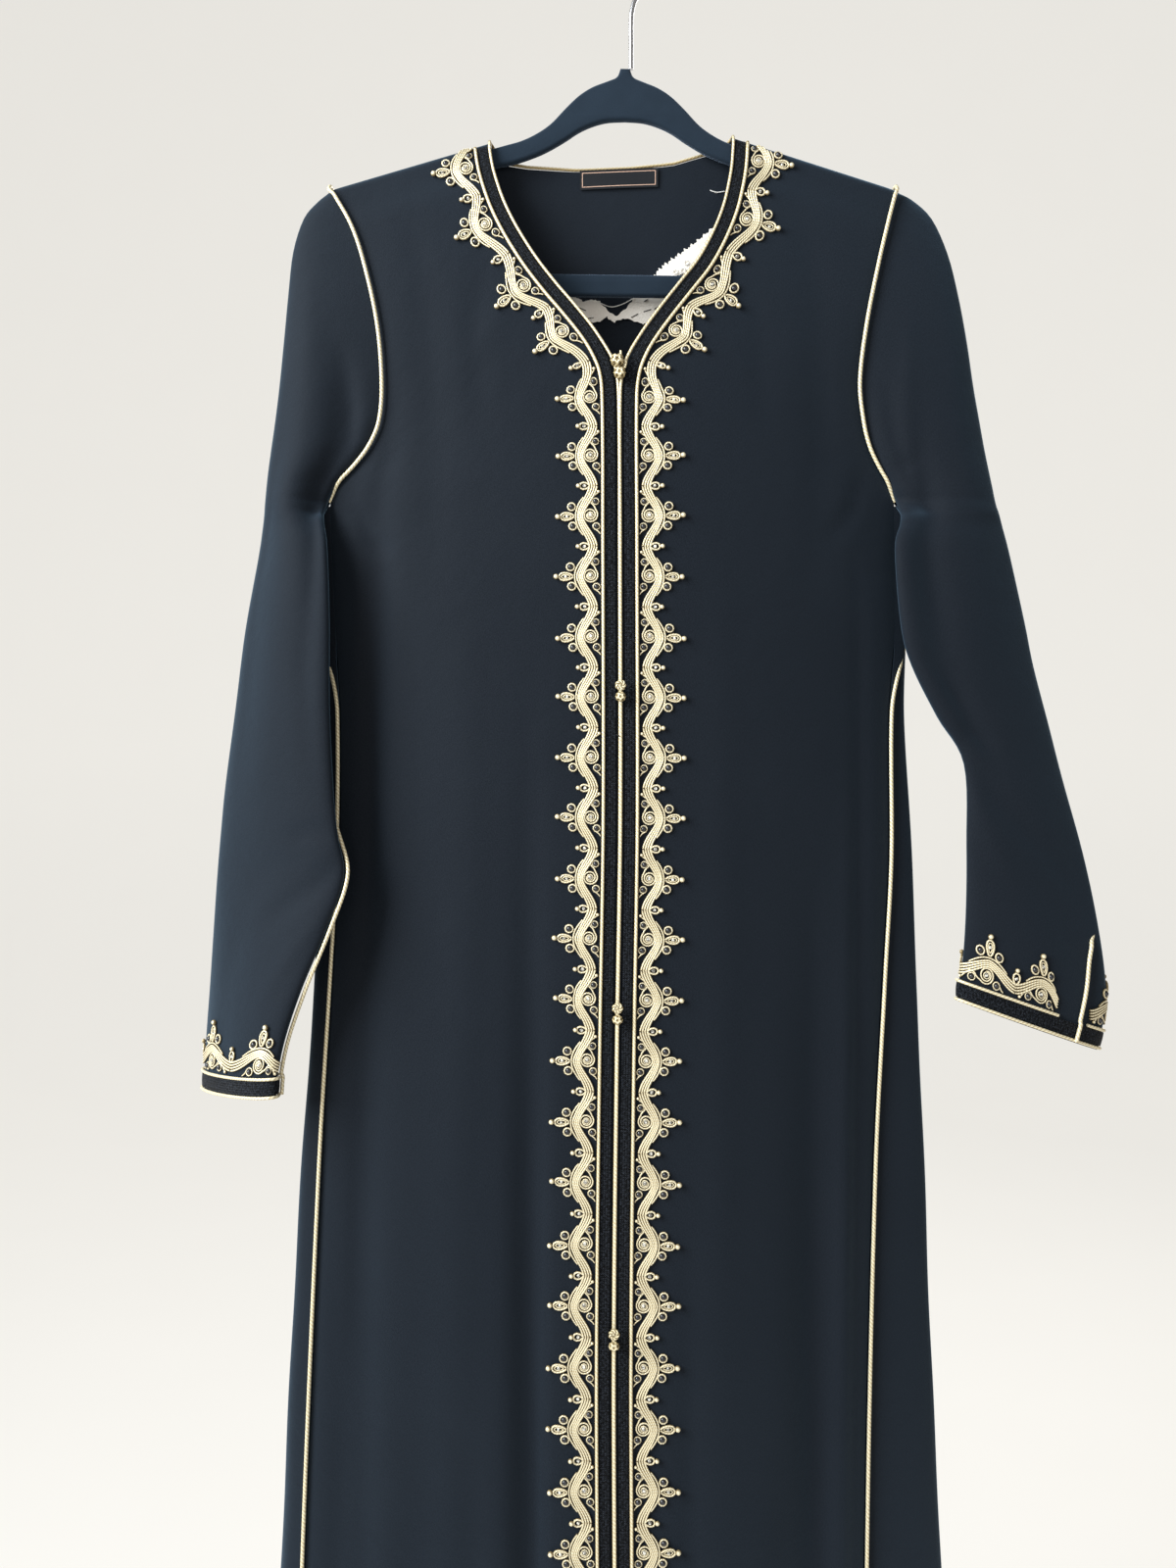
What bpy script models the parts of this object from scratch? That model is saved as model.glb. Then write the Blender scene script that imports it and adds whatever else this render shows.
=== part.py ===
"""A moroccan kaftan hanging on a flocked hanger.

Lengths in the tables are in millimetres and MM turns them into metres. X runs to the viewer's right,
Y away from the viewer and Z up. The origin is where the hook rests: the inner top of its loop.
"left" and "right" are the viewer's.
"""
import math

import bmesh
import bpy
from mathutils import Vector

MM = 0.001

# ---------------------------------------------------------------- driving sizes
CLOTH = 1.2                 # wall of the crepe
CLEAR = 0.3                 # least gap between neighbouring pieces
SEAM_INSET = 0.45           # each panel stops this short of a corner seam, so its inner edge clears too
SHOULDER_RADIUS = 5.0       # outside of the cloth where it lies over the hanger's arm
SHOULDER_SLOPE = 0.308      # fall of the shoulder line for each millimetre outwards
HANGER_TILT = 0.0131        # the hanger hangs a little low on the right
HANGER_CENTRE = -4.0        # X of the hanger's middle
SHOULDER_HEIGHT = -131.0    # shoulder line at 93 mm from the hanger's middle
SHOULDER_REACH = 93.0
HEM = -1529.0

CORD_RADIUS = 1.05          # the fine pair down the middle
OUTER_CORD_RADIUS = 1.3
CORD_OFFSET = 1.25          # edge cord, from the edge of the front
BRAID_START = 2.7
BRAID_END = 9.2
BRAID_THICK = 1.1
OUTER_CORD_OFFSET = 10.9
BAND_START = 12.6           # embroidery begins beside the outer cord
BAND_THICK = 1.5
BAND_LIFT = 0.7
STRIP_TOP = 5.0             # strips on the fronts start this far down from the shoulder seam
STRIP_STOP = 0.5            # and stop this short of the hem
NECK_START, NECK_END = 16.0, 200.0      # the curved part of a front edge, from the shoulder
NECK_POINTS = 14
STRAIGHT_POINTS = 17
PITCH = 39.4                # repeat of the embroidery down the front
NECK_PEAKS = (16.0, 54.0, 100.0, 140.0)
FIRST_STRAIGHT_PEAK = 200.0
STRAIGHT_PEAKS = 31
CLOSURE_TOP = -286.5
CLOSURE_STEP = 210.0
CLOSURES = 6

PIPING_RADIUS = 1.3
PIPING_LIFT = 1.95          # piping's middle, out from the seam it covers
PIPING_TOP = -388.0         # side pipings start here, hidden under the arm
CORD_LIFT = 1.5             # fine cord's middle, out from the cloth it lies on
OUTER_CORD_GAP = 0.45       # outer cord's underside, out from the cloth
NECK_CORNER = 0.6           # the edge cord cuts the neck's corner by this much
ARMHOLE_EXTRA = 0.4         # the armhole piping stands out this much more than the others
KNOT_RADIUS = 2.6
KNOT_OUTLINE = ((0.0, 6.6), (1.9, 5.9), (2.6, 4.0), (1.9, 2.1), (1.0, 0.0), (1.9, -2.1), (2.6, -4.0),
                (1.9, -5.9), (0.0, -6.6))
CUFF_CORDS = (("low", 1.4), ("high", 13.6))     # each cord's rise above the hem
CUFF_BRAID_LIFT = 1.6       # its outer face, out from the sleeve
CUFF_BRAID_LOW = 2.9
CUFF_BRAID_HIGH = 12.1
CUFF_BAND_START = 15.1
CUFF_BAND_FACE = 2.7        # outer face of the embroidery, out from the sleeve
CUFF_MOTIFS = 5
CUFF_MOTIF_SCALE = 1.05
CUFF_GAP = 6.0              # bare cloth each side of the underarm seam
RING_STEPS = 140            # steps in which a cuff's girth is measured
BACK_BAND_START = 3.0       # back embroidery, from the cord above it
BACK_PEAKS = (28.0, 68.0, 107.0)
BACK_BAND_STOP = 6.0        # it stops this short of the shoulders
BACK_CORD_STOP = 4.0
BACKING_STOP = 14.0
BACKING_START = -4.0
BACKING_WIDTH = 25.0
BACKING_THICK = 0.8
BACKING_DEPTH = 2.7         # its outer face, in from the outside of the back
LABEL_THICK = 0.5
LABEL_DEPTH = 2.2
LABEL_WIDTH = 53.0
LABEL_HEIGHT = 12.5
LABEL_CENTRE = (-8.0, -148.5)

HANGER_THICK = 6.0
HANGER_EDGE = 1.5
HOOK_WIRE = 3.2
HOOK_INSIDE = 14.5          # radius of the hook's inside, so it takes a 28 mm rail

# One motif's outer outline: distance along from its peak as a share of half the repeat, and reach from
# the edge of the front.
MOTIF_OUTLINE = ((0.0, 43.0), (0.27, 31.5), (0.72, 19.5), (1.0, 27.5))

# Front edge of each side from the shoulder to the hem: height and X.
NECK_LEFT = (
    (-130.0, -94.2), (-146.0, -91.8), (-160.0, -88.2), (-176.0, -82.4), (-193.0, -73.9),
    (-212.0, -62.2), (-229.0, -49.6), (-243.0, -38.0), (-259.0, -25.5), (-272.0, -17.4),
    (-287.0, -11.2), (-305.0, -9.0), (-400.0, -8.4), (-585.0, -8.2), (-728.0, -10.4), (-930.0, -12.6),
    (-1100.0, -12.0), (HEM, -11.4),
)
NECK_RIGHT = (
    (-126.4, 67.2), (-146.0, 65.8), (-160.0, 63.5), (-176.0, 59.6), (-193.0, 53.0), (-212.0, 43.0),
    (-229.0, 30.2), (-243.0, 19.5), (-259.0, 8.0), (-272.0, 0.2), (-287.0, -5.6), (-305.0, -8.0),
    (-400.0, -8.0), (-585.0, -7.8), (-728.0, -10.0), (-930.0, -12.2), (-1100.0, -11.6), (HEM, -11.0),
)

# Armhole seam: height, X at the left and at the right.
ARMHOLE = (
    (-160.7, -201.9, 177.6), (-187.0, -187.0, 170.6), (-214.0, -177.8, 164.1), (-254.0, -169.0, 156.0),
    (-293.0, -165.9, 151.5), (-319.0, -168.2, 154.4), (-335.0, -175.5, 158.8), (-347.0, -185.3, 165.0),
    (-357.0, -195.5, 171.4), (-365.0, -200.8, 175.6), (-371.0, -203.5, 178.0),
)
UNDERARM = -371.0
GORE_TOP = -383.0

# Side seams below the underarm: height, X of the front seam left and right, X of the outermost
# cloth of the gore left and right.
SIDE = (
    (-371.0, -203.5, 178.0, -204.6, 179.2), (-390.0, -203.2, 178.3, -206.0, 181.0),
    (-415.0, -202.3, 178.6, -209.5, 185.5),
    (-455.0, -200.0, 178.6, -210.5, 187.0), (-515.0, -196.5, 174.2, -209.5, 186.0),
    (-610.0, -197.0, 173.8, -210.8, 191.6), (-693.0, -201.0, 169.0, -214.5, 193.4),
    (-815.0, -207.5, 162.0, -223.5, 198.8), (-1078.0, -217.4, 154.8, -236.2, 209.4),
    (HEM, -228.0, 148.0, -261.0, 228.0),
)

# How far the cloth stands forward of, or behind, the hanger's arm: height, front middle, front edge,
# back middle, back edge.
DEPTH = (
    (-125.0, 0.0, 0.0, 3.0, 0.0), (-165.0, 5.0, 1.0, 6.0, 1.5), (-200.0, 9.0, 3.0, 9.0, 3.0),
    (-240.0, 13.0, 5.0, 12.0, 5.0), (-285.0, 17.0, 5.0, 14.5, 6.0), (-330.0, 19.0, 2.0, 16.0, 5.0),
    (-371.0, 20.0, -4.5, 17.0, -1.5), (-400.0, 20.3, -6.0, 17.3, 3.0), (-440.0, 20.6, -6.0, 17.6, 6.5),
    (-500.0, 21.0, -6.0, 18.0, 8.0), (-650.0, 22.0, -4.0, 19.0, 9.0), (-800.0, 25.0, 0.0, 20.0, 10.0),
    (-1000.0, 29.0, 4.0, 22.0, 13.0), (-1200.0, 33.0, 9.0, 26.0, 16.0), (HEM, 40.0, 16.0, 32.0, 22.0),
)
DEPTH_POWER = 2.4           # how flat the middle of each panel is before it turns back to its edges
SETTLE_DROP = 30.0          # the cloth leaves the hanger's arm over this much of its fall
FOLD_FADE = 8.0             # folds die out over the last eighth of a panel's width

# Large folds: X at the top and at the hem, height where it starts and where it is full, depth
# (positive is a ridge, negative a trough) and width.
FRONT_FOLDS = (
    (-67.0, -69.0, -420.0, -1000.0, -6.5, 10.0),
    (-84.0, -92.0, -600.0, -1300.0, 4.0, 24.0),
    (-172.0, -188.0, -330.0, -900.0, -4.0, 13.0),
    (-132.0, -146.0, -800.0, -1500.0, -4.0, 16.0),
    (118.0, 120.0, -560.0, -1050.0, -7.0, 15.0),
    (146.0, 137.0, -480.0, -900.0, 4.5, 8.0),
    (74.0, 72.0, -700.0, -1400.0, 3.5, 20.0),
)
BACK_FOLDS = (
    (-128.0, -150.0, -420.0, -1100.0, -6.0, 18.0),
    (-62.0, -74.0, -500.0, -1300.0, 5.0, 22.0),
    (6.0, 14.0, -380.0, -1000.0, -6.0, 20.0),
    (70.0, 86.0, -560.0, -1250.0, 5.0, 20.0),
    (128.0, 136.0, -460.0, -1100.0, -5.0, 16.0),
)

# Sleeve heads, row by row from the shoulder to the underarm: height on the armhole seam; X, height and Y
# of the outer edge; fullness forward and backward.
HEAD_LEFT = (
    (-161.2, -203.2, -161.8, 0.0, 0.0, 0.0), (-165.7, -211.5, -168.5, 0.0, 1.0, 1.0),
    (-176.0, -220.5, -180.0, -0.5, 2.5, 2.5), (-198.0, -227.6, -202.0, 0.0, 4.5, 4.5),
    (-225.0, -231.0, -231.0, 0.5, 6.5, 6.5), (-258.0, -234.0, -262.0, 1.0, 8.5, 8.0),
    (-290.0, -237.2, -293.0, 1.5, 10.5, 9.5), (-314.0, -240.3, -317.0, 2.0, 12.0, 10.5),
    (-332.0, -242.8, -335.0, 2.0, 13.5, 11.5), (-346.0, -244.6, -349.0, 2.0, 15.0, 12.0),
    (-358.0, -245.8, -361.0, 2.0, 16.0, 12.0), (-370.0, -246.8, -373.0, 2.0, 17.0, 12.0),
)
HEAD_RIGHT = (
    (-161.2, 179.0, -161.8, 0.0, 0.0, 0.0), (-165.7, 189.5, -167.0, 0.0, 1.0, 1.0),
    (-176.0, 202.5, -180.0, -0.5, 2.5, 2.5), (-198.0, 213.0, -204.0, -1.0, 4.5, 4.5),
    (-225.0, 219.8, -232.0, -1.5, 6.5, 6.5), (-258.0, 225.3, -263.0, -2.0, 8.5, 8.0),
    (-290.0, 229.6, -294.0, -2.5, 10.5, 9.5), (-314.0, 233.4, -317.0, -3.0, 12.0, 10.5),
    (-332.0, 236.4, -335.0, -3.5, 13.0, 11.5), (-346.0, 239.0, -349.0, -4.0, 14.0, 12.0),
    (-358.0, 241.5, -361.0, -4.0, 15.0, 12.0), (-370.0, 244.0, -373.0, -4.0, 15.5, 12.0),
)
# Sleeves below the underarm: height, X and Y of the inner edge; height, X and Y of the outer edge;
# fullness forward and backward. The left one hangs turned outwards.
SLEEVE_LEFT = (
    (-379.0, -205.2, -7.0, -380.0, -247.5, 2.5, 15.0, 14.0),
    (-388.0, -203.4, -15.0, -389.0, -249.0, 3.5, 12.5, 15.0),
    (-406.0, -199.8, -22.0, -407.0, -252.2, 5.0, 12.0, 14.0),
    (-455.0, -197.0, -28.0, -456.0, -262.3, 9.0, 12.5, 13.0),
    (-508.0, -196.5, -30.0, -508.0, -269.8, 12.0, 12.0, 12.0),
    (-560.0, -194.0, -31.0, -560.0, -277.6, 15.0, 12.0, 12.0),
    (-592.0, -191.0, -32.0, -592.0, -281.2, 16.5, 12.0, 12.0),
    (-620.0, -186.5, -33.0, -622.0, -284.2, 18.0, 12.0, 12.0),
    (-654.0, -197.5, -34.0, -658.0, -287.2, 20.0, 13.0, 12.0),
    (-691.0, -213.0, -34.0, -698.0, -290.2, 21.5, 14.0, 12.0),
    (-721.0, -223.5, -33.0, -724.0, -292.4, 22.5, 14.0, 13.0),
    (-744.0, -229.0, -32.0, -746.0, -294.0, 23.5, 14.0, 13.0),
    (-758.0, -230.5, -31.0, -765.0, -294.8, 24.0, 14.0, 13.0),
)
SLEEVE_RIGHT = (
    (-379.0, 179.6, -7.0, -380.0, 246.2, -4.5, 14.0, 14.0),
    (-388.0, 177.4, -15.0, -389.0, 248.5, -5.0, 11.0, 14.0),
    (-406.0, 172.4, -21.0, -407.0, 253.0, -5.5, 10.5, 14.0),
    (-455.0, 175.3, -24.0, -452.0, 262.7, -6.0, 11.5, 13.0),
    (-482.0, 182.2, -24.0, -482.0, 268.5, -6.5, 12.0, 12.0),
    (-516.0, 199.7, -22.0, -520.0, 278.2, -7.0, 11.0, 12.0),
    (-547.0, 218.0, -20.0, -556.0, 287.4, -7.0, 10.0, 12.0),
    (-600.0, 220.0, -19.0, -606.0, 300.8, -8.0, 11.0, 12.0),
    (-640.0, 220.0, -18.0, -650.0, 309.8, -9.0, 12.0, 12.0),
    (-672.0, 218.5, -17.0, -690.0, 315.4, -9.0, 12.0, 11.0),
    (-690.0, 216.0, -16.0, -716.0, 314.8, -8.0, 12.0, 11.0),
    (-703.0, 215.3, -16.0, -737.0, 310.2, -8.0, 12.0, 11.0),
)
# Hollows down the front of the sleeves: first, deepest and last height, place round the sleeve as a
# share of its turn, depth, and width as a share of the turn.
SLEEVE_HOLLOWS = {
    -1: ((-250.0, -330.0, -520.0, 0.13, 4.5, 0.055),),
    1: ((-280.0, -420.0, -600.0, 0.17, 6.0, 0.05), (-560.0, -640.0, -735.0, 0.36, 3.0, 0.07)),
}
# Underarm seams below the armhole: height and place round the sleeve. Each sleeve hangs twisted, the
# right one until its seam comes round the outer edge to the front.
SEAM_LEFT = ((-392.0, 0.97), (-455.0, 0.93), (-560.0, 0.94), (-600.0, 0.98), (-625.0, 1.005),
             (-764.0, 1.02))
SEAM_RIGHT = ((-392.0, 0.98), (-455.0, 0.88), (-516.0, 0.74), (-570.0, 0.66), (-605.0, 0.6),
              (-630.0, 0.52), (-642.0, 0.44), (-655.0, 0.39), (-672.0, 0.365), (-690.0, 0.35),
              (-703.0, 0.345))
AROUND = 14                 # facets round a sleeve
UNDERARM_STEPS = {-1: 2, 1: 6}      # points of the underarm piping for each row of the sleeve
FLUSH_ROWS = 6.0            # rows over which a sleeve head rounds out above the underarm

# Hanger body, half of it, as distance from its middle and height: the top edge from the hub out and
# round the end to the bar, then the inner edge from the arm's underside round to the bar.
HANGER_OUTSIDE = (
    (3.2, -79.0), (5.6, -84.6), (12.0, -87.6), (22.0, -91.6), (31.0, -97.4), (40.0, -106.0),
    (50.0, -116.6), (60.0, -123.6), (70.0, -128.4), (80.0, -131.4), (93.0, -135.2), (120.0, -143.2),
    (150.0, -152.0), (166.0, -155.6), (174.0, -159.8), (178.0, -165.6), (178.4, -173.0),
    (175.0, -190.0), (166.0, -211.0), (150.0, -226.0), (130.0, -232.0),
)
HANGER_INSIDE = (
    (0.0, -113.6), (12.0, -114.4), (22.0, -117.2), (31.0, -121.4), (40.0, -127.4), (50.0, -133.4),
    (60.0, -138.2), (75.0, -143.4), (93.0, -147.2), (120.0, -155.0), (148.0, -164.0), (159.0, -171.0),
    (163.0, -180.0), (157.0, -198.0), (144.0, -212.0), (127.0, -217.6),
)
# Hook: X and height of its wire from the hub up to where the loop begins, then the loop's first and last
# bearing.
HOOK_STEM = ((0.0, -78.6), (0.0, -62.0), (0.0, -47.0), (0.6, -39.5), (2.7, -32.0), (7.0, -26.4),
             (12.2, -22.4))
HOOK_LOOP = (-14.0, 196.0)

# Upper edge of the back's embroidery, half of it, from the shoulder to the middle: X from the middle
# and height.
BACK_V = ((87.5, -135.5), (86.0, -155.0), (77.0, -180.0), (58.0, -195.5), (38.5, -209.0), (0.0, -235.0))
BACK_V_MIDDLE = -10.0


# ---------------------------------------------------------------- small helpers
def along(table, height, column):
    """A column's value at a height, on a smooth curve through the table's rows, which run downwards."""
    last = len(table) - 1
    if height >= table[0][0]:
        return table[0][column]
    if height <= table[last][0]:
        return table[last][column]
    row = 0
    while table[row + 1][0] > height:
        row += 1
    before, after = table[row], table[row + 1]
    span = after[0] - before[0]
    share = (height - before[0]) / span

    def slope(index):
        low, high = max(index - 1, 0), min(index + 1, last)
        return (table[high][column] - table[low][column]) / (table[high][0] - table[low][0])

    square, cube = share * share, share ** 3
    return ((2 * cube - 3 * square + 1) * before[column] + (cube - 2 * square + share) * span * slope(row)
            + (3 * square - 2 * cube) * after[column] + (cube - square) * span * slope(row + 1))


def mix(low, high, share):
    return low + (high - low) * share


def spread(low, high, count):
    return [mix(low, high, index / (count - 1)) for index in range(count)]


def material(name, colour, roughness, metallic=0.0):
    made = bpy.data.materials.new(name)
    made.use_nodes = True
    shader = made.node_tree.nodes["Principled BSDF"]
    shader.inputs["Base Color"].default_value = (*colour, 1.0)
    shader.inputs["Roughness"].default_value = roughness
    shader.inputs["Metallic"].default_value = metallic
    return made


def finish_object(name, data, look):
    made = bpy.data.objects.new(name, data)
    data.materials.append(look)
    KAFTAN.objects.link(made)
    return made


def sheet_object(name, rows, thickness, look, closed=False, close_from=0):
    """An open grid of points with a Solidify wall grown inwards.

    rows holds lists of points that run so that (across x down) faces outwards. A closed grid joins its
    last column to its first; with close_from, only from that row down, as a sleeve below its armhole.
    """
    mesh = bmesh.new()
    grid = [[mesh.verts.new(Vector(point) * MM) for point in row] for row in rows]
    for index in range(len(grid) - 1):
        upper, lower = grid[index], grid[index + 1]
        if closed and index >= close_from:
            upper = upper + [upper[0]]
        if closed and index + 1 >= close_from:
            lower = lower + [lower[0]]
        if len(upper) == 1:
            upper = upper * len(lower)
        for column in range(len(lower) - 1):
            corners = [upper[column], lower[column], lower[column + 1], upper[column + 1]]
            face = [corner for place, corner in enumerate(corners) if corner not in corners[:place]]
            mesh.faces.new(face)
    data = bpy.data.meshes.new(name)
    mesh.to_mesh(data)
    mesh.free()
    data.shade_smooth()
    made = finish_object(name, data, look)
    wall = made.modifiers.new("wall", "SOLIDIFY")
    wall.thickness = thickness * MM
    wall.offset = -1.0
    return made


def cord_object(name, points, radius, look, cyclic=False, smoothness=0):
    """A cord, as a round-bevelled polyline."""
    curve = bpy.data.curves.new(name, "CURVE")
    curve.dimensions = "3D"
    curve.bevel_depth = radius * MM
    curve.bevel_resolution = smoothness
    curve.use_fill_caps = True
    spline = curve.splines.new("POLY")
    spline.points.add(len(points) - 1)
    for place, point in zip(spline.points, points):
        place.co = (*(Vector(point) * MM), 1.0)
    spline.use_cyclic_u = cyclic
    return finish_object(name, curve, look)


# ---------------------------------------------------------------- the body's two surfaces
def shoulder_height(x):
    out = x - HANGER_CENTRE
    return SHOULDER_HEIGHT - SHOULDER_SLOPE * (abs(out) - SHOULDER_REACH) - HANGER_TILT * out


def side_limits(height):
    """X of the front panels' outer edges at a height."""
    table = ARMHOLE if height > UNDERARM else SIDE
    return along(table, height, 1), along(table, height, 2)


def arch(drop):
    """How far the cloth stands out from the shoulder line's plane at a drop below it."""
    if drop >= SHOULDER_RADIUS:
        return SHOULDER_RADIUS
    drop = max(drop, 0.0)
    return math.sqrt(SHOULDER_RADIUS ** 2 - (SHOULDER_RADIUS - drop) ** 2)


def fold_sum(folds, x, height):
    total = 0.0
    for top_x, hem_x, start, full, size, width in folds:
        if height >= start:
            continue
        grown = min(1.0, (start - height) / (start - full))
        grown = grown * grown * (3.0 - 2.0 * grown)
        centre = mix(top_x, hem_x, (height - start) / (HEM - start))
        total += size * grown * math.exp(-((x - centre) / width) ** 2)
    return total


def panel_depth(x, height, middle_column, edge_column, folds):
    left, right = side_limits(height)
    middle = along(NECK_LEFT, height, 1)
    reach = (middle - left) if x < middle else (right - middle)
    share = min(1.0, abs(x - middle) / reach)
    middle_depth = along(DEPTH, height, middle_column)
    edge_depth = along(DEPTH, height, edge_column)
    drop = shoulder_height(x) - height
    settle = min(1.0, max(0.0, drop) / SETTLE_DROP)
    bulge = edge_depth + (middle_depth - edge_depth) * (1.0 - share ** DEPTH_POWER)
    fade = min(1.0, (1.0 - share) * FOLD_FADE)
    return arch(drop) + bulge * settle + fold_sum(folds, x, height) * fade


def front_y(x, height):
    return -panel_depth(x, height, 1, 2, FRONT_FOLDS)


def back_y(x, height):
    return panel_depth(x, height, 3, 4, BACK_FOLDS)


def lifted(surface, x, height, lift):
    """A point moved out from a panel's surface, or into the garment with a negative lift."""
    step = 1.0
    across = (surface(x + step, height) - surface(x - step, height)) / (2.0 * step)
    down = (surface(x, height + step) - surface(x, height - step)) / (2.0 * step)
    normal = Vector((across, -1.0, down)).normalized()
    if surface is back_y:
        normal = -normal
    return Vector((x, surface(x, height), height)) + normal * lift


# ---------------------------------------------------------------- rows of the panels
# Height on the front edge and on the outer edge, from the shoulder line down.
ARCH_ANGLES = (5.0, 25.0, 50.0, 90.0)
CORD_ARCH_ANGLES = (50.0, 12.0)
PANEL_ROWS = (
    (-146.0, -176.0), (-163.0, -198.0), (-180.0, -225.0), (-198.0, -258.0), (-216.0, -290.0),
    (-234.0, -314.0), (-252.0, -332.0), (-268.0, -346.0), (-284.0, -358.0), (-302.0, -370.0),
    (-340.0, -394.0), (-390.0, -422.0), (-460.0, -470.0), (-530.0, -530.0), (-600.0, -600.0),
    (-670.0, -670.0), (-750.0, -750.0), (-840.0, -840.0), (-930.0, -930.0), (-1020.0, -1020.0),
    (-1120.0, -1120.0), (-1220.0, -1220.0), (-1320.0, -1320.0), (-1425.0, -1425.0), (HEM, HEM),
)
# Columns of a front: millimetres from its edge under the embroidery, then shares of what is left.
NEAR_COLUMNS = (0.0, 21.0, 43.0)
FAR_COLUMNS = {-1: (0.09, 0.26, 0.5, 0.75, 0.88, 1.0), 1: (0.27, 0.5, 0.68, 0.86, 1.0)}
BACK_COLUMNS = (0.0, 0.07, 0.17, 0.276, 0.2925, 0.325, 0.40, 0.49, 0.59, 0.655, 0.70, 0.713, 0.81,
                0.91, 1.0)
LEFT_NECK_COLUMN, RIGHT_NECK_COLUMN = 3, 11
NECK_SETTLE = 34.0          # the back's neck columns reach their shares over this much of the fall
# Back neck edge: X and drop below the line between the neck ends of the shoulders.
BACK_NECK = ((-94.2, 0.0), (-90.7, 6.6), (-85.7, 11.5), (-70.0, 13.8), (-35.0, 16.0), (0.0, 15.5),
             (29.7, 13.5), (46.3, 9.7), (58.0, 7.2), (63.6, 5.6), (67.2, 0.0))


def arch_drop(angle):
    return SHOULDER_RADIUS * (1.0 - math.cos(math.radians(angle)))


def front_rows(neck, sign):
    """Ruled rows from the front edge to the armhole and side seam."""
    top, edge_column = neck[0][0], (1 if sign < 0 else 2)
    tip = ARMHOLE[0][0]
    heights = [(top - arch_drop(angle), tip - arch_drop(angle)) for angle in ARCH_ANGLES]
    heights += PANEL_ROWS
    rows = []
    for number, (inner, outer) in enumerate(heights):
        inner_x = along(neck, inner, 1)
        table = ARMHOLE if outer >= UNDERARM else SIDE
        outer_x = along(table, outer, edge_column) - sign * SEAM_INSET
        row = []
        near = [min(distance / abs(outer_x - inner_x), 0.6) for distance in NEAR_COLUMNS]
        for share in near + [mix(near[-1], 1.0, rest) for rest in FAR_COLUMNS[sign]]:
            x = mix(inner_x, outer_x, share)
            height = mix(inner, outer, share)
            if number < len(ARCH_ANGLES):
                height = shoulder_height(x) - arch_drop(ARCH_ANGLES[number])
            row.append((x, front_y(x, height), height))
        rows.append(row)
    return rows


def back_neck_height(x):
    left_x, right_x = NECK_LEFT[0][1], NECK_RIGHT[0][1]
    share = (x - left_x) / (right_x - left_x)
    line = mix(shoulder_height(left_x), shoulder_height(right_x), share)
    for (before, low), (after, high) in zip(BACK_NECK, BACK_NECK[1:]):
        if before <= x <= after:
            return line - mix(low, high, (x - before) / (after - before))
    return line


def back_rows():
    rows = []
    left_neck, right_neck = BACK_COLUMNS[LEFT_NECK_COLUMN], BACK_COLUMNS[RIGHT_NECK_COLUMN]
    levels = [ARMHOLE[0][0] - arch_drop(angle) for angle in ARCH_ANGLES]
    levels += [outer for inner, outer in PANEL_ROWS]
    for number, level in enumerate(levels):
        table = ARMHOLE if level >= UNDERARM else SIDE
        left = along(table, level, 1) + SEAM_INSET
        right = along(table, level, 2) - SEAM_INSET
        row = []
        for share in BACK_COLUMNS:
            x = mix(left, right, share)
            settled = min(1.0, max(0.0, (levels[3] - level) / NECK_SETTLE))
            if share == left_neck:
                x = mix(NECK_LEFT[0][1], x, settled)
            if share == right_neck:
                x = mix(NECK_RIGHT[0][1], x, settled)
            inside = left_neck < share < right_neck
            top = back_neck_height(x) if inside else shoulder_height(x)
            if share in (0.0, 1.0):
                height = level
            elif number < len(ARCH_ANGLES):
                height = top - arch_drop(ARCH_ANGLES[number])
            elif level > UNDERARM:
                fall = (level - levels[3]) / (UNDERARM - levels[3])
                height = mix(top - SHOULDER_RADIUS, UNDERARM, fall)
            else:
                height = level
            row.append((x, back_y(x, height), height))
        rows.append(row)
    return rows


def gore_rows(side):
    """Between the front seam and the back seam, round the outermost line of the side."""
    front_column, outer_column = (1, 3) if side < 0 else (2, 4)
    rows = []
    for level in [GORE_TOP] + [row[1] for row in PANEL_ROWS if row[1] < GORE_TOP]:
        seam_x = along(SIDE, level, front_column)
        outer_x = along(SIDE, level, outer_column)
        front, back = front_y(seam_x, level), back_y(seam_x, level)
        middle = mix(front, back, 0.5)
        inset = min(SEAM_INSET, (back - front) * 0.2)
        start = (seam_x + side * SEAM_INSET, front + inset)
        finish = (seam_x + side * SEAM_INSET, back - inset)
        shoulder_x = mix(start[0], outer_x, 0.72)
        row = [start, (shoulder_x, mix(front, middle, 0.42)), (outer_x, middle),
               (shoulder_x, mix(back, middle, 0.42)), finish]
        rows.append([(x, y, level) for x, y in row])
    return rows


# ---------------------------------------------------------------- sleeves
def sleeve_stations(side):
    """Rows of a sleeve: front seam point, back seam point, outer point, the two fullnesses, the side
    and how flush the row leaves the armhole (None below it)."""
    head, lower = (HEAD_LEFT, SLEEVE_LEFT) if side < 0 else (HEAD_RIGHT, SLEEVE_RIGHT)
    column = 1 if side < 0 else 2
    stations = []
    for number, (height, outer_x, outer_height, outer_y, forward, backward) in enumerate(head):
        seam_x = along(ARMHOLE, height, column)
        front = Vector((seam_x + side * SEAM_INSET, front_y(seam_x, height), height))
        back = Vector((seam_x + side * SEAM_INSET, back_y(seam_x, height), height))
        flush = min(1.0, (len(head) - 1 - number) / FLUSH_ROWS)
        outer = Vector((outer_x, outer_y, outer_height))
        stations.append((front, back, outer, forward, backward, side, flush))
    for height, inner_x, inner_y, outer_height, outer_x, outer_y, forward, backward in lower:
        inner = Vector((inner_x, inner_y, height))
        outer = Vector((outer_x, outer_y, outer_height))
        stations.append((inner, inner, outer, forward, backward, side, None))
    return stations


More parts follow.
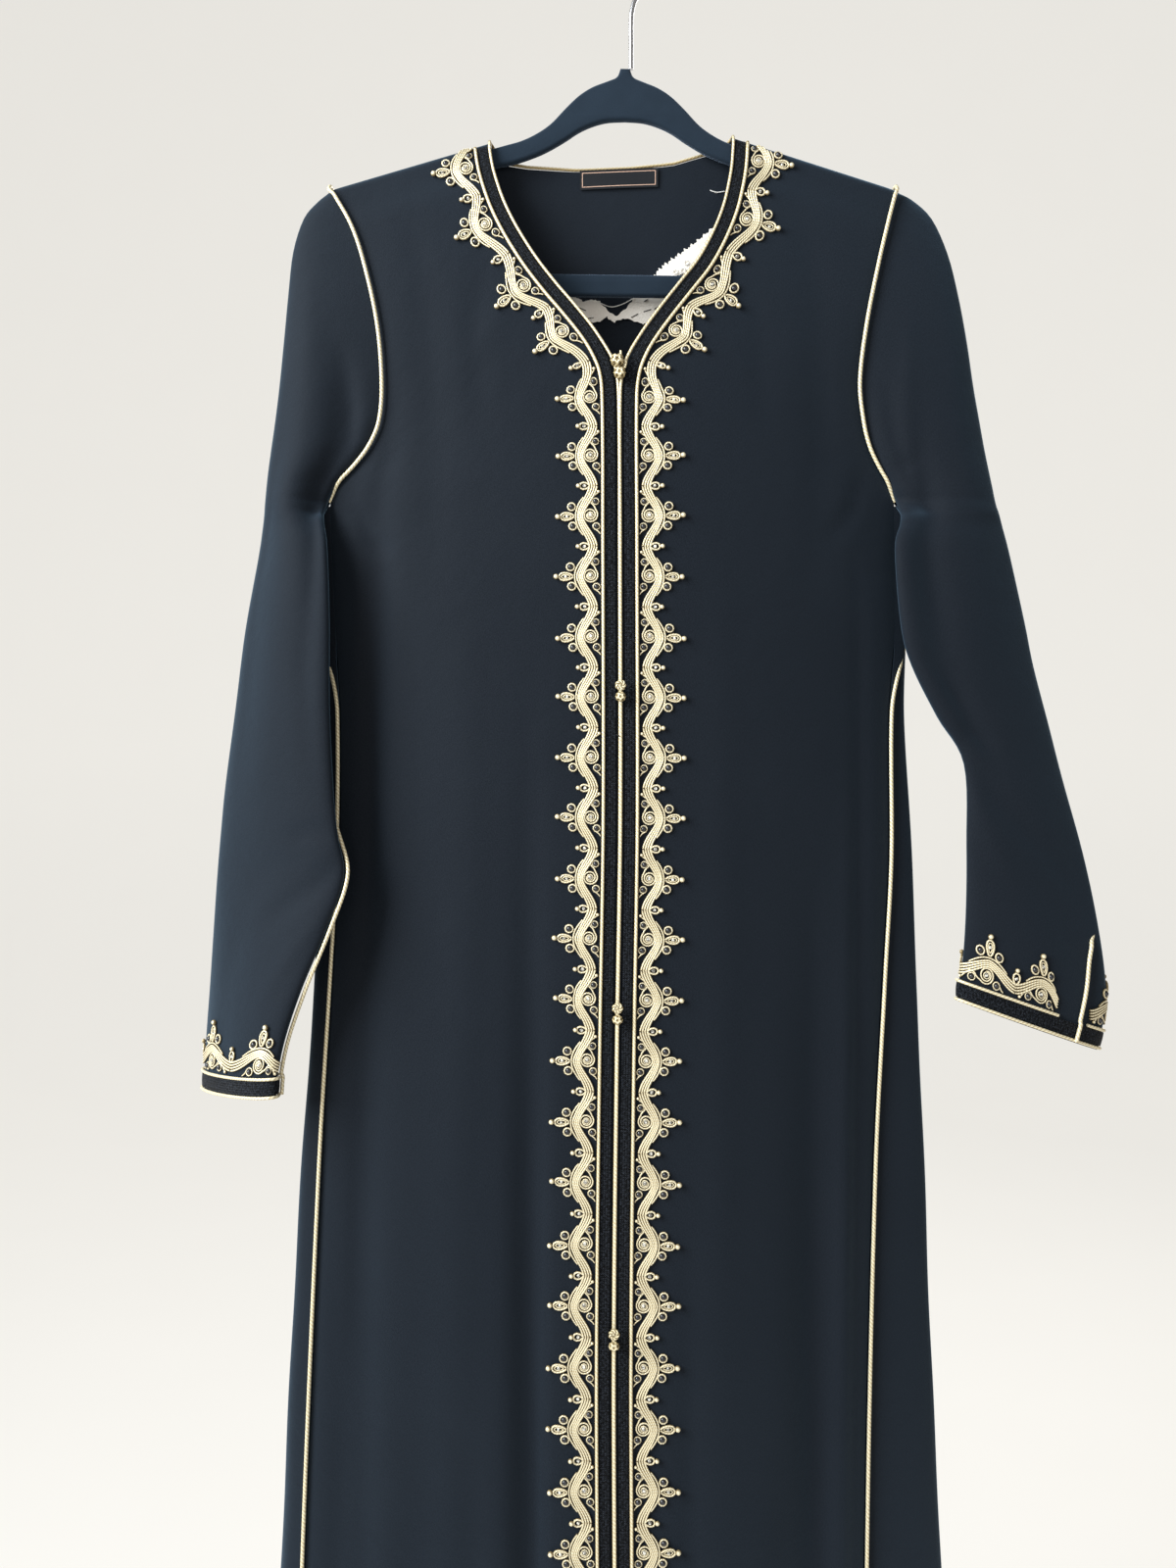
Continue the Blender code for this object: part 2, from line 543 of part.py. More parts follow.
def station_point(station, turn):
    """A point round a row: turn 0 is the inner front, 0.5 the outer edge and 1 the inner back."""
    front, back, outer, forward, backward, side, flush = station
    half = turn * 2.0 if turn <= 0.5 else (1.0 - turn) * 2.0
    start, fullness = (front, -forward) if turn <= 0.5 else (back, backward)
    share = mix((1.0 - math.cos(math.pi * half)) / 2.0, math.sin(math.pi * half / 2.0), flush or 0.0)
    point = start.lerp(outer, share)
    point.y += fullness * math.sin(math.pi * half)
    for first, deepest, last, place, depth, width in SLEEVE_HOLLOWS[side]:
        if last < point.z < first:
            end = first if point.z > deepest else last
            reach = (end - point.z) / (end - deepest)
            reach = reach * reach * (3.0 - 2.0 * reach)
            point.y += depth * reach * math.exp(-((turn - place) / width) ** 2)
    return point


def sleeve_point(side, row, turn):
    """A point of the sleeve between its rows: row is a row number with a fraction."""
    stations = SLEEVE_STATIONS[side]
    index = min(int(row), len(stations) - 2)
    turn = turn % 1.0
    upper = station_point(stations[index], turn)
    return upper.lerp(station_point(stations[index + 1], turn), row - index)


def sleeve_lifted(side, row, turn, lift):
    step_row, step_turn = 0.05, 0.01
    last = len(SLEEVE_STATIONS[side]) - 1
    low, high = max(row - step_row, 0.0), min(row + step_row, last)
    down = sleeve_point(side, high, turn) - sleeve_point(side, low, turn)
    before, after = (sleeve_point(side, row, turn + step) for step in (-step_turn, step_turn))
    across = after - before
    normal = down.cross(across).normalized() * side
    return sleeve_point(side, row, turn) + normal * lift


def sleeve_rows(side):
    rows = []
    for number, station in enumerate(SLEEVE_STATIONS[side]):
        if number == 0:
            rows.append([station[0].lerp(station[1], 0.5)])
            continue
        on_armhole = station[-1] is not None
        turns = [index / AROUND for index in range(AROUND + 1 if on_armhole else AROUND)]
        if side < 0:
            turns = turns[::-1] if on_armhole else [0.0] + turns[:0:-1]
        rows.append([station_point(station, turn) for turn in turns])
    return rows


def row_above_hem(side, rise, turn=0.25):
    """The row number that lies this far up the sleeve from its hem."""
    row = len(SLEEVE_STATIONS[side]) - 1.0
    step, climbed = 0.1, 0.0
    while True:
        piece = (sleeve_point(side, row, turn) - sleeve_point(side, row - step, turn)).length
        if climbed + piece >= rise:
            return row - step * (rise - climbed) / piece
        climbed += piece
        row -= step


# ---------------------------------------------------------------- trim on the fronts
def edge_path(neck):
    """Points a few millimetres apart along a front edge, with their distance from the shoulder."""
    path, travelled = [], 0.0
    top, bottom = neck[0][0], neck[-1][0]
    count = int((top - bottom) / 3.0)
    previous = None
    for height in spread(top, bottom, count):
        here = Vector((along(neck, height, 1), height))
        if previous is not None:
            travelled += (here - previous).length
        path.append((travelled, here))
        previous = here
    return path


def edge_point(side, distance, offset):
    """X and height of a point offset from the front edge, square to it."""
    path = EDGE_PATHS[side]
    index = 1
    while index < len(path) - 1 and path[index][0] < distance:
        index += 1
    (before, low), (after, high) = path[index - 1], path[index]
    here = low.lerp(high, (distance - before) / (after - before))
    wide_low = path[max(index - 5, 0)][1]
    wide_high = path[min(index + 4, len(path) - 1)][1]
    heading = (wide_high - wide_low).normalized()
    outwards = Vector((-heading.y, heading.x))
    if side < 0:
        outwards = -outwards
    point = here + outwards * offset
    point.y = min(point.y, shoulder_height(point.x) - SHOULDER_RADIUS)
    point.y = max(point.y, HEM + 1.0)
    return point


def on_front(side, distance, offset, lift):
    place = edge_point(side, distance, offset)
    return lifted(front_y, place.x, place.y, lift)


def path_distances(side):
    """Distances where the strips on a front edge are given points: close at the neck, wider below."""
    total = EDGE_PATHS[side][-1][0]
    neck = spread(NECK_START, NECK_END, NECK_POINTS)
    straight = spread(NECK_END, total - STRIP_STOP, STRAIGHT_POINTS)
    return [STRIP_TOP, STRIP_TOP + 2.0] + neck + straight[1:]


def strip_rows(side, start, finish, lift, distances):
    rows = []
    for distance in distances:
        inner = on_front(side, distance, start, lift)
        outer = on_front(side, distance, finish, lift)
        rows.append([inner, outer] if side > 0 else [outer, inner])
    return rows


def motif_stations(peaks, first, last):
    """Distances and reaches of the embroidery's outline, peak after peak."""
    ends = [first] + [mix(a, b, 0.5) for a, b in zip(peaks, peaks[1:])] + [last]
    stations = []
    for number, peak in enumerate(peaks):
        before, after = ends[number], ends[number + 1]
        for share, reach in reversed(MOTIF_OUTLINE[1:]):
            stations.append((mix(peak, before, share), reach))
        stations.append((peak, MOTIF_OUTLINE[0][1]))
        for share, reach in MOTIF_OUTLINE[1:-1]:
            stations.append((mix(peak, after, share), reach))
    stations.append((ends[-1], MOTIF_OUTLINE[-1][1]))
    return stations


# ---------------------------------------------------------------- cords and pipings
def edge_cord_points():
    """Up the left front edge, round the back of the neck and down the right front edge."""
    climb = [on_front(-1, reached, CORD_OFFSET, CORD_LIFT) for reached in path_distances(-1)][::-1]
    over = [Vector(point) for point in back_rows()[0][LEFT_NECK_COLUMN:RIGHT_NECK_COLUMN + 1]]
    neck = [over[0] + Vector((NECK_CORNER, 0.0, CORD_LIFT))]
    for before, here, after in zip(over, over[1:], over[2:]):
        heading = (here - before).normalized() + (after - here).normalized()
        square = Vector((-heading.z, 0.0, heading.x)).normalized()
        neck.append(here + square * CORD_LIFT + Vector((0.0, -CLOTH / 2.0, 0.0)))
    neck.append(over[-1] + Vector((-NECK_CORNER, 0.0, CORD_LIFT)))
    fall = [on_front(1, reached, CORD_OFFSET, CORD_LIFT) for reached in path_distances(1)]
    up = [arch_point(climb[-1].x, angle) for angle in CORD_ARCH_ANGLES]
    down = [arch_point(fall[0].x, angle) for angle in reversed(CORD_ARCH_ANGLES)]
    return climb + up + neck + down + fall


def arch_point(x, angle):
    """A point of the edge cord where it goes over the shoulder line."""
    reach = SHOULDER_RADIUS + CORD_LIFT
    turn = math.radians(angle)
    height = shoulder_height(x) - SHOULDER_RADIUS + reach * math.cos(turn)
    return Vector((x, -reach * math.sin(turn), height))


def armhole_points(side):
    """From the underarm up the front of the armhole, over its tip and down the back."""
    column = 1 if side < 0 else 2
    heights = [row[1] for row in PANEL_ROWS if row[1] > UNDERARM + 4.0]
    lift = PIPING_LIFT + ARMHOLE_EXTRA
    tip = Vector((ARMHOLE[0][column], 0.0, ARMHOLE[0][0] + lift))
    front, back = [], []
    for height in [ARMHOLE[0][0] - SHOULDER_RADIUS] + heights:
        x = along(ARMHOLE, height, column)
        front.append(Vector((x, front_y(x, height) - lift, height)))
        back.append(Vector((x, back_y(x, height) + lift, height)))
    slant = math.sqrt(0.5) * (SHOULDER_RADIUS + lift)
    height = ARMHOLE[0][0] - SHOULDER_RADIUS + slant
    shoulder = [Vector((tip.x, sign * slant, height)) for sign in (-1.0, 1.0)]
    return front[::-1] + [shoulder[0], tip, shoulder[1]] + back


def side_points(side):
    """Down the seam between a front and its gore."""
    column = 1 if side < 0 else 2
    points = []
    for height in [PIPING_TOP] + [row[1] for row in PANEL_ROWS if row[1] < PIPING_TOP]:
        x = along(SIDE, height, column)
        beside, before = side * PIPING_LIFT * 0.6, PIPING_LIFT * 0.8
        points.append(Vector((x + beside, front_y(x, height) - before, height)))
    points[-1].z += 1.0
    return points


def seam_turn(side, row):
    """Place round the sleeve of its underarm seam."""
    height = sleeve_point(side, row, 0.0).z
    return along(SEAM_LEFT if side < 0 else SEAM_RIGHT, height, 1)


def underarm_points(side):
    """Down the sleeve's underarm seam to the braid of the cuff."""
    first = len(HEAD_LEFT) + 1.0
    last = row_above_hem(side, CUFF_BAND_START, seam_turn(side, len(SLEEVE_STATIONS[side]) - 1.5))
    share = UNDERARM_STEPS[side]
    rows = [first + number / share for number in range(int((last - first) * share) + 1)] + [last]
    return [sleeve_lifted(side, row, seam_turn(side, row), PIPING_RADIUS + 0.9) for row in rows]


# ---------------------------------------------------------------- cuffs
def cuff_point(side, turn, rise, lift):
    return sleeve_lifted(side, row_above_hem(side, rise, turn), turn, lift)


def cuff_turns():
    return [index / AROUND for index in range(AROUND)]


def ring_rows(side, low, high, lift):
    """A closed strip round a cuff between two heights above its hem."""
    upper = [cuff_point(side, turn, high, lift) for turn in cuff_turns()]
    lower = [cuff_point(side, turn, low, lift) for turn in cuff_turns()]
    return [upper, lower] if side > 0 else [[upper[0]] + upper[:0:-1], [lower[0]] + lower[:0:-1]]


def cuff_embroidery_rows(side):
    """Strip round a cuff from one side of the underarm seam to the other, its upper edge in points."""
    seam = seam_turn(side, len(SLEEVE_STATIONS[side]) - 1.5) % 1.0
    fine = spread(0.0, 1.0, RING_STEPS + 1)
    ring = [cuff_point(side, seam + share, CUFF_BAND_START, 0.0) for share in fine]
    travelled = [0.0]
    for before, after in zip(ring, ring[1:]):
        travelled.append(travelled[-1] + (after - before).length)
    first, last = CUFF_GAP, travelled[-1] - CUFF_GAP
    pitch = (last - first) / CUFF_MOTIFS
    peaks = [first + pitch * (number + 0.5) for number in range(CUFF_MOTIFS)]
    outline = motif_stations(peaks, first, last)

    def share_at(distance):
        index = max(number for number, reached in enumerate(travelled[:-1]) if reached <= distance)
        step = (distance - travelled[index]) / (travelled[index + 1] - travelled[index])
        return (index + step) / RING_STEPS

    stations = [(share_at(distance), (reach - BAND_START) * CUFF_MOTIF_SCALE)
                for distance, reach in outline]
    for turn in cuff_turns():
        share = (turn - seam) % 1.0
        if stations[0][0] < share < stations[-1][0]:
            index = max(number for number, station in enumerate(stations) if station[0] <= share)
            (low, low_reach), (high, high_reach) = stations[index], stations[index + 1]
            stations.insert(index + 1, (share, mix(low_reach, high_reach, (share - low) / (high - low))))
    rows = []
    for share, reach in stations:
        row = [cuff_point(side, seam + share, CUFF_BAND_START + reach * rise, CUFF_BAND_FACE)
               for rise in (0.0, 0.5, 1.0)]
        rows.append(row[::-1] if side < 0 else row)
    return rows


# ---------------------------------------------------------------- the back's embroidery
def back_path():
    """Points along the V from the left shoulder to the right one, with their distance."""
    half = [Vector((-reach, height)) for reach, height in BACK_V]
    corners = half + [Vector((-point.x, point.y)) for point in half[-2::-1]]
    path, travelled = [(0.0, corners[0])], 0.0
    for before, after in zip(corners, corners[1:]):
        travelled += (after - before).length
        path.append((travelled, after))
    return [(distance, point + Vector((BACK_V_MIDDLE, 0.0))) for distance, point in path]


def back_place(distance, offset):
    """X and height of a point offset downwards from the V, square to it."""
    def place(at):
        path = back_path()
        at = min(max(at, 0.0), path[-1][0])
        index = max(number for number, (reached, point) in enumerate(path[:-1]) if reached <= at)
        (before, low), (after, high) = path[index], path[index + 1]
        return low.lerp(high, (at - before) / (after - before))
    heading = (place(distance + 9.0) - place(distance - 9.0)).normalized()
    return place(distance) + Vector((heading.y, -heading.x)) * offset


def on_back(distance, offset, lift):
    place = back_place(distance, offset)
    height = min(place.y, shoulder_height(place.x) - SHOULDER_RADIUS)
    return lifted(back_y, place.x, height, lift)


def back_strip_rows(stations, lift):
    return [[on_back(distance, start, lift), on_back(distance, finish, lift)]
            for distance, start, finish in stations]


# ---------------------------------------------------------------- hanger and closures
def hanger_outline(half):
    """A half outline mirrored about the hanger's middle, with its tilt."""
    points = [(reach, height) for reach, height in half]
    mirrored = [(-reach, height) for reach, height in reversed(half) if reach > 0.0]
    return [(HANGER_CENTRE + reach, height - HANGER_TILT * reach) for reach, height in points + mirrored]


def hanger_object(look):
    curve = bpy.data.curves.new("hanger_body", "CURVE")
    curve.dimensions = "2D"
    curve.fill_mode = "BOTH"
    curve.extrude = (HANGER_THICK / 2.0 - HANGER_EDGE) * MM
    curve.bevel_depth = HANGER_EDGE * MM
    curve.bevel_resolution = 0
    curve.offset = -HANGER_EDGE * MM
    for outline in (hanger_outline(HANGER_OUTSIDE), hanger_outline(HANGER_INSIDE)):
        spline = curve.splines.new("POLY")
        spline.points.add(len(outline) - 1)
        for place, (x, height) in zip(spline.points, outline):
            place.co = (x * MM, height * MM, 0.0, 1.0)
        spline.use_cyclic_u = True
    made = finish_object("hanger_body", curve, look)
    made.rotation_euler = (math.pi / 2.0, 0.0, 0.0)
    return made


def hook_points():
    """Wire from the hub up round the loop; the loop's inner top is the origin."""
    reach = HOOK_INSIDE + HOOK_WIRE / 2.0
    stem = [Vector((x, 0.0, height)) for x, height in HOOK_STEM]
    loop = []
    for bearing in spread(HOOK_LOOP[0], HOOK_LOOP[1], 17):
        turn = math.radians(bearing)
        loop.append(Vector((reach * math.cos(turn), 0.0, reach * math.sin(turn) - HOOK_INSIDE)))
    return stem + loop


def closure_object(name, centre, look):
    """A pair of knots one above the other, turned about the upright line between the fronts."""
    mesh = bmesh.new()
    outline = [mesh.verts.new((reach * MM, 0.0, height * MM)) for reach, height in KNOT_OUTLINE]
    for upper, lower in zip(outline, outline[1:]):
        mesh.edges.new((upper, lower))
    data = bpy.data.meshes.new(name)
    mesh.to_mesh(data)
    mesh.free()
    made = finish_object(name, data, look)
    made.location = centre * MM
    turn = made.modifiers.new("turn", "SCREW")
    turn.steps = 7
    turn.render_steps = 7
    turn.use_merge_vertices = True
    turn.merge_threshold = 0.00001
    turn.use_normal_calculate = True
    turn.use_smooth_shade = True
    return made


def build():
    cloth = material("navy_crepe", (0.008, 0.010, 0.018), 0.75)
    gold = material("gold_cord", (0.72, 0.62, 0.38), 0.45, 0.3)
    gold_work = material("gold_cordwork", (0.78, 0.70, 0.48), 0.5, 0.25)
    braid = material("black_braid", (0.012, 0.012, 0.014), 0.6)
    white = material("white_backing", (0.85, 0.84, 0.82), 0.9)
    satin = material("label_satin", (0.01, 0.01, 0.012), 0.35)
    flock = material("flocked_plastic", (0.006, 0.006, 0.008), 0.95)
    steel = material("hook_steel", (0.62, 0.62, 0.64), 0.25, 1.0)

    # Cloth
    sheet_object("front_left", [row[::-1] for row in front_rows(NECK_LEFT, -1)], CLOTH, cloth)
    sheet_object("front_right", front_rows(NECK_RIGHT, 1), CLOTH, cloth)
    sheet_object("back", [row[::-1] for row in back_rows()], CLOTH, cloth)
    sheet_object("gore_left", [row[::-1] for row in gore_rows(-1)], CLOTH, cloth)
    sheet_object("gore_right", gore_rows(1), CLOTH, cloth)
    for side, name in SIDES:
        sheet_object("sleeve_" + name, sleeve_rows(side), CLOTH, cloth,
                     closed=True, close_from=len(HEAD_LEFT))

    # Braid, cords and cordwork on the fronts
    for side, name in SIDES:
        distances = path_distances(side)
        rows = strip_rows(side, BRAID_START, BRAID_END, CLEAR + BRAID_THICK, distances)
        sheet_object("braid_" + name, rows, BRAID_THICK, braid)
        cord_object("outer_cord_" + name,
                    [on_front(side, distance, OUTER_CORD_OFFSET, OUTER_CORD_GAP + OUTER_CORD_RADIUS)
                     for distance in distances], OUTER_CORD_RADIUS, gold)
        peaks = [FIRST_STRAIGHT_PEAK + PITCH * number for number in range(STRAIGHT_PEAKS)]
        peaks = list(NECK_PEAKS) + peaks
        rows = []
        for distance, reach in motif_stations(peaks, 2.0, EDGE_PATHS[side][-1][0] - 2.0):
            inner = on_front(side, distance, BAND_START, BAND_LIFT + BAND_THICK)
            outer = on_front(side, distance, reach, BAND_LIFT + BAND_THICK)
            rows.append([inner, outer] if side > 0 else [outer, inner])
        sheet_object("embroidery_" + name, rows, BAND_THICK, gold_work)
    cord_object("edge_cord", edge_cord_points(), CORD_RADIUS, gold)
    for number in range(CLOSURES):
        height = CLOSURE_TOP - CLOSURE_STEP * number
        left_x, right_x = along(NECK_LEFT, height, 1), along(NECK_RIGHT, height, 1)
        x, beside = mix(left_x, right_x, 0.5), (right_x - left_x) / 2.0 + CORD_OFFSET
        reach = KNOT_RADIUS + CORD_RADIUS + CLEAR
        above = math.sqrt(max(reach ** 2 - beside ** 2, 1.0))
        centre = Vector((x, front_y(x, height) - CORD_LIFT - above, height))
        closure_object("closure_%d" % (number + 1), centre, gold)

    # Pipings and cuffs
    for side, name in SIDES:
        cord_object("armhole_piping_" + name, armhole_points(side), PIPING_RADIUS, gold)
        cord_object("side_piping_" + name, side_points(side), PIPING_RADIUS, gold)
        cord_object("underarm_piping_" + name, underarm_points(side), PIPING_RADIUS, gold)
        sheet_object("cuff_braid_" + name,
                     ring_rows(side, CUFF_BRAID_LOW, CUFF_BRAID_HIGH, CUFF_BRAID_LIFT),
                     BRAID_THICK, braid, closed=True)
        for place, rise in CUFF_CORDS:
            points = [cuff_point(side, turn, rise, CORD_LIFT + 0.05) for turn in cuff_turns()]
            cord_object("cuff_cord_%s_%s" % (place, name), points, CORD_RADIUS, gold, cyclic=True)
        sheet_object("cuff_embroidery_" + name, cuff_embroidery_rows(side), BAND_THICK, gold_work)

    # The back's embroidery, its backing inside and the label
    total = back_path()[-1][0]
    peaks = list(BACK_PEAKS) + [total - peak for peak in reversed(BACK_PEAKS)]
    outline = motif_stations(peaks, BACK_BAND_STOP, total - BACK_BAND_STOP)
    stations = [(distance, BACK_BAND_START, BACK_BAND_START + reach - BAND_START)
                for distance, reach in outline]
    raised = back_strip_rows(stations, BAND_LIFT + BAND_THICK)
    sheet_object("embroidery_back", raised, BAND_THICK, gold_work)
    distances = spread(BACK_CORD_STOP, total - BACK_CORD_STOP, 29)
    points = [on_back(distance, 0.0, CORD_LIFT) for distance in distances]
    cord_object("back_cord", points, CORD_RADIUS, gold)
    backing = [(distance, BACKING_START, BACKING_START + BACKING_WIDTH)
               for distance in spread(BACKING_STOP, total - BACKING_STOP, 25)]
    sheet_object("backing", back_strip_rows(backing, -BACKING_DEPTH), BACKING_THICK, white)
    left_end, right_end = (LABEL_CENTRE[0] + sign * LABEL_WIDTH / 2.0 for sign in (-1.0, 1.0))
    across = spread(left_end, right_end, 4)
    label = [[lifted(back_y, x, LABEL_CENTRE[1] + drop, -LABEL_DEPTH) for x in reversed(across)]
             for drop in (LABEL_HEIGHT / 2.0, -LABEL_HEIGHT / 2.0)]
    sheet_object("label", label, LABEL_THICK, satin)

    # Hanger
    hanger_object(flock)
    cord_object("hook", hook_points(), HOOK_WIRE / 2.0, steel, smoothness=1)


for old in list(bpy.data.objects):
    bpy.data.objects.remove(old, do_unlink=True)
KAFTAN = bpy.data.collections.new("moroccan_kaftan")
bpy.context.scene.collection.children.link(KAFTAN)
SIDES = ((-1, "left"), (1, "right"))
EDGE_PATHS = {-1: edge_path(NECK_LEFT), 1: edge_path(NECK_RIGHT)}
SLEEVE_STATIONS = {side: sleeve_stations(side) for side, name in SIDES}
build()
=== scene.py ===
# %% [markdown]
# # A moroccan kaftan on its hanger
# A kaftan is a long, straight gown that opens all the way down the front. This one is cut from
# matte navy crepe. Gold cord is couched down both front edges, round the neck and above the
# cuffs, and thin gold piping covers the seams. It hangs closed on a slim flocked hanger.
#
# The solids of every piece have been made already, so this script dresses them. It loads them as
# a frame, and each finer piece made here takes the place of one of them. Lengths in the tables
# are in millimetres; X runs to the right, Y away from the front and Z up, from the inner top of
# the hook.

# %% The frame
import math
from contextlib import contextmanager

import bmesh
import bpy
import numpy as np
from mathutils import Matrix, Vector


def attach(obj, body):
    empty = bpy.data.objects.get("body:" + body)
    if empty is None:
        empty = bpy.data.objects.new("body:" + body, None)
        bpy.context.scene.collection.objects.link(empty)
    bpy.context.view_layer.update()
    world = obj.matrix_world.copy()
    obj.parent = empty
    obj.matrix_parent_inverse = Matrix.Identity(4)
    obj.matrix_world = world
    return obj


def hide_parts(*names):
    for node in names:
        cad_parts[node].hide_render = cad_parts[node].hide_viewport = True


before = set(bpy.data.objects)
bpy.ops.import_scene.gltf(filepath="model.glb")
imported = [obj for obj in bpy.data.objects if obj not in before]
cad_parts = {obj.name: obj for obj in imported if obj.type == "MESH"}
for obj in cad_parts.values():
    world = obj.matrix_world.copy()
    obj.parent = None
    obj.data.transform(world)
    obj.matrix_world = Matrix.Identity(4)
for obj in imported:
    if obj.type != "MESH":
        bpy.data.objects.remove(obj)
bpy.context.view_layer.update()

MM = 0.001
SIDES = ((-1, "left"), (1, "right"))

# %% [markdown]
# ## Camera
# A garment this tall is seen from close by and straight ahead, with a slightly wide lens: the
# camera stands level with the waist, 795 mm in front of the hanger's arm.

# %% Camera
def put(name, data):
    """A new object in the scene, at its origin."""
    made = bpy.data.objects.new(name, data)
    bpy.context.scene.collection.objects.link(made)
    return made


lens = bpy.data.cameras.new("camera")
lens.lens = 27.09
lens.sensor_width = 36
camera = put("camera", lens)
camera.location = (-0.029, -0.795, -0.56)
camera.rotation_euler = (math.pi / 2, 0, 0)
bpy.context.scene.camera = camera
print("camera at", tuple(camera.location))

# %% [markdown]
# ## A small language for materials and node trees
# Node graphs made in code get long when each node takes four lines. One small class wraps a
# socket, so that a sum of two sockets is written as a sum, and one method makes any other node.
# The same class serves materials and Geometry Nodes, because both keep their maths in the same
# node.

# %% Sockets that add and multiply
class Wire:
    """One value on its way through a node tree."""

    def __init__(self, tree, socket=None):
        self.tree, self.socket = tree, socket

    def plug(self, socket, value):
        if isinstance(value, Wire):
            self.tree.links.new(value.socket, socket)
        elif value is not None:
            socket.default_value = value

    def make(self, kind, inputs=None, output=0, **settings):
        """Any node: its settings, its inputs by name or number, and the output wanted."""
        node = self.tree.nodes.new(kind)
        for name, value in settings.items():
            setattr(node, name, value)
        for name, value in (inputs or {}).items():
            self.plug(node.inputs[name], value)
        return Wire(self.tree, node.outputs[output])

    def math(self, operation, other=None):
        return self.make("ShaderNodeMath", {0: self, 1: other}, operation=operation)

    def __rsub__(self, other):
        return (self * -1) + other

    def split(self):
        """The X, Y and Z of a vector."""
        first = self.make("ShaderNodeSeparateXYZ", {0: self})
        return [Wire(self.tree, socket) for socket in first.socket.node.outputs]

    def smooth(self, low, high):
        """0 below low, 1 above high and a soft step between."""
        return self.make("ShaderNodeMapRange", {"Value": self, "From Min": low, "From Max": high},
                         interpolation_type="SMOOTHSTEP")


OPERATIONS = {"add": "ADD", "radd": "ADD", "sub": "SUBTRACT", "mul": "MULTIPLY", "truediv": "DIVIDE",
              "pow": "POWER", "mod": "FLOORED_MODULO", "lt": "LESS_THAN", "gt": "GREATER_THAN"}
for sign, operation in OPERATIONS.items():
    setattr(Wire, "__%s__" % sign, lambda wire, other, operation=operation: wire.math(operation, other))


class Finish:
    """A material with its shader, and the few nodes that every finish here uses."""

    def __init__(self, name, colour, roughness, metallic=0, sheen=0, specular=0.5):
        self.material = bpy.data.materials.new(name)
        self.material.use_nodes = True
        self.material.diffuse_color = (*colour, 1)
        self.tree = self.material.node_tree
        self.shader = self.tree.nodes["Principled BSDF"]
        for socket, value in (("Base Color", (*colour, 1)), ("Roughness", roughness),
                              ("Metallic", metallic), ("Sheen Weight", sheen),
                              ("Specular IOR Level", specular)):
            self.shader.inputs[socket].default_value = value
        self.start = Wire(self.tree)

    def place(self, output="Object"):
        return self.start.make("ShaderNodeTexCoord", output=output)

    def attribute(self, name, output="Fac"):
        return self.start.make("ShaderNodeAttribute", output=output, attribute_name=name)

    def noise(self, place, scale, detail=2, roughness=0.5):
        return self.start.make("ShaderNodeTexNoise", {"Vector": place, "Scale": scale,
                                                      "Detail": detail, "Roughness": roughness})

    def grain(self, place, x, y, z=1):
        """Noise with its own scale each way, for threads and drawn metal."""
        drawn = self.start.make("ShaderNodeVectorMath", {0: place, 1: (x, y, z)}, operation="MULTIPLY")
        return self.noise(drawn, 1, detail=1)

    def blend(self, share, first, second):
        """Colour that goes from first to second."""
        first, second = ((*value, 1.0) if isinstance(value, tuple) else value for value in (first, second))
        return self.start.make("ShaderNodeMix", {0: share, 6: first, 7: second}, 2, data_type="RGBA")

    def paint(self, colour, roughness=None, normal=None):
        """Plugs whatever varies over the piece into its shader."""
        for socket, value in (("Base Color", colour), ("Roughness", roughness), ("Normal", normal)):
            self.start.plug(self.shader.inputs[socket], value)

    def relief(self, height, depth, strength=1, under=None):
        """Bump of this depth in metres, on top of another bump."""
        inputs = {"Height": height, "Distance": depth, "Strength": strength, "Normal": under}
        return self.start.make("ShaderNodeBump", inputs, output="Normal")


print("sockets can be added, multiplied and blended:", len(OPERATIONS) + 1, "signs")

# %% [markdown]
# ## The crepe
# Crepe is woven from hard-twisted yarns that shrink back after weaving, so its face is a fine,
# irregular pebble with no shine to speak of. The texture is laid on the flat cut of each piece:
# two crossed noises for the warp and the weft, a broader one for the way crepe never hangs dead
# flat, and a little sheen for the fibres that stand up from it.

# %% Navy crepe
crepe = Finish("navy_crepe", (0.011, 0.017, 0.028), 0.72, sheen=0.3, specular=0.08)
crepe.shader.inputs["Sheen Roughness"].default_value = 0.45
crepe.shader.inputs["Sheen Tint"].default_value = (0.42, 0.68, 0.95, 1)
cut = crepe.place("UV")
weft = crepe.grain(cut, 900, 2600)
warp = crepe.grain(cut, 2600, 700)
pebble = crepe.noise(cut, 1300, detail=2, roughness=0.6)
cockle = crepe.noise(cut, 46, detail=3, roughness=0.55)
tone = crepe.noise(cut, 8, detail=2)
shade = (weft + warp) * 0.35 + pebble * 0.3
crepe.paint(crepe.blend(shade.smooth(0.3, 0.7) * 0.75 + tone * 0.25,
                        (0.0026, 0.0036, 0.006), (0.0104, 0.0134, 0.0188)),
            shade * 0.2 + 0.6,
            crepe.relief(weft + warp + pebble, 0.00011, 0.8, under=crepe.relief(cockle, 0.0012, 0.45)))
print("crepe made")

# %% [markdown]
# ## The cut, as tables
# A maker keeps a garment as a handful of measurements. Each table here holds one line of it from
# the top down: where the front edge runs, the armhole, the side seams, how deep the cloth stands
# and where its large folds hang.

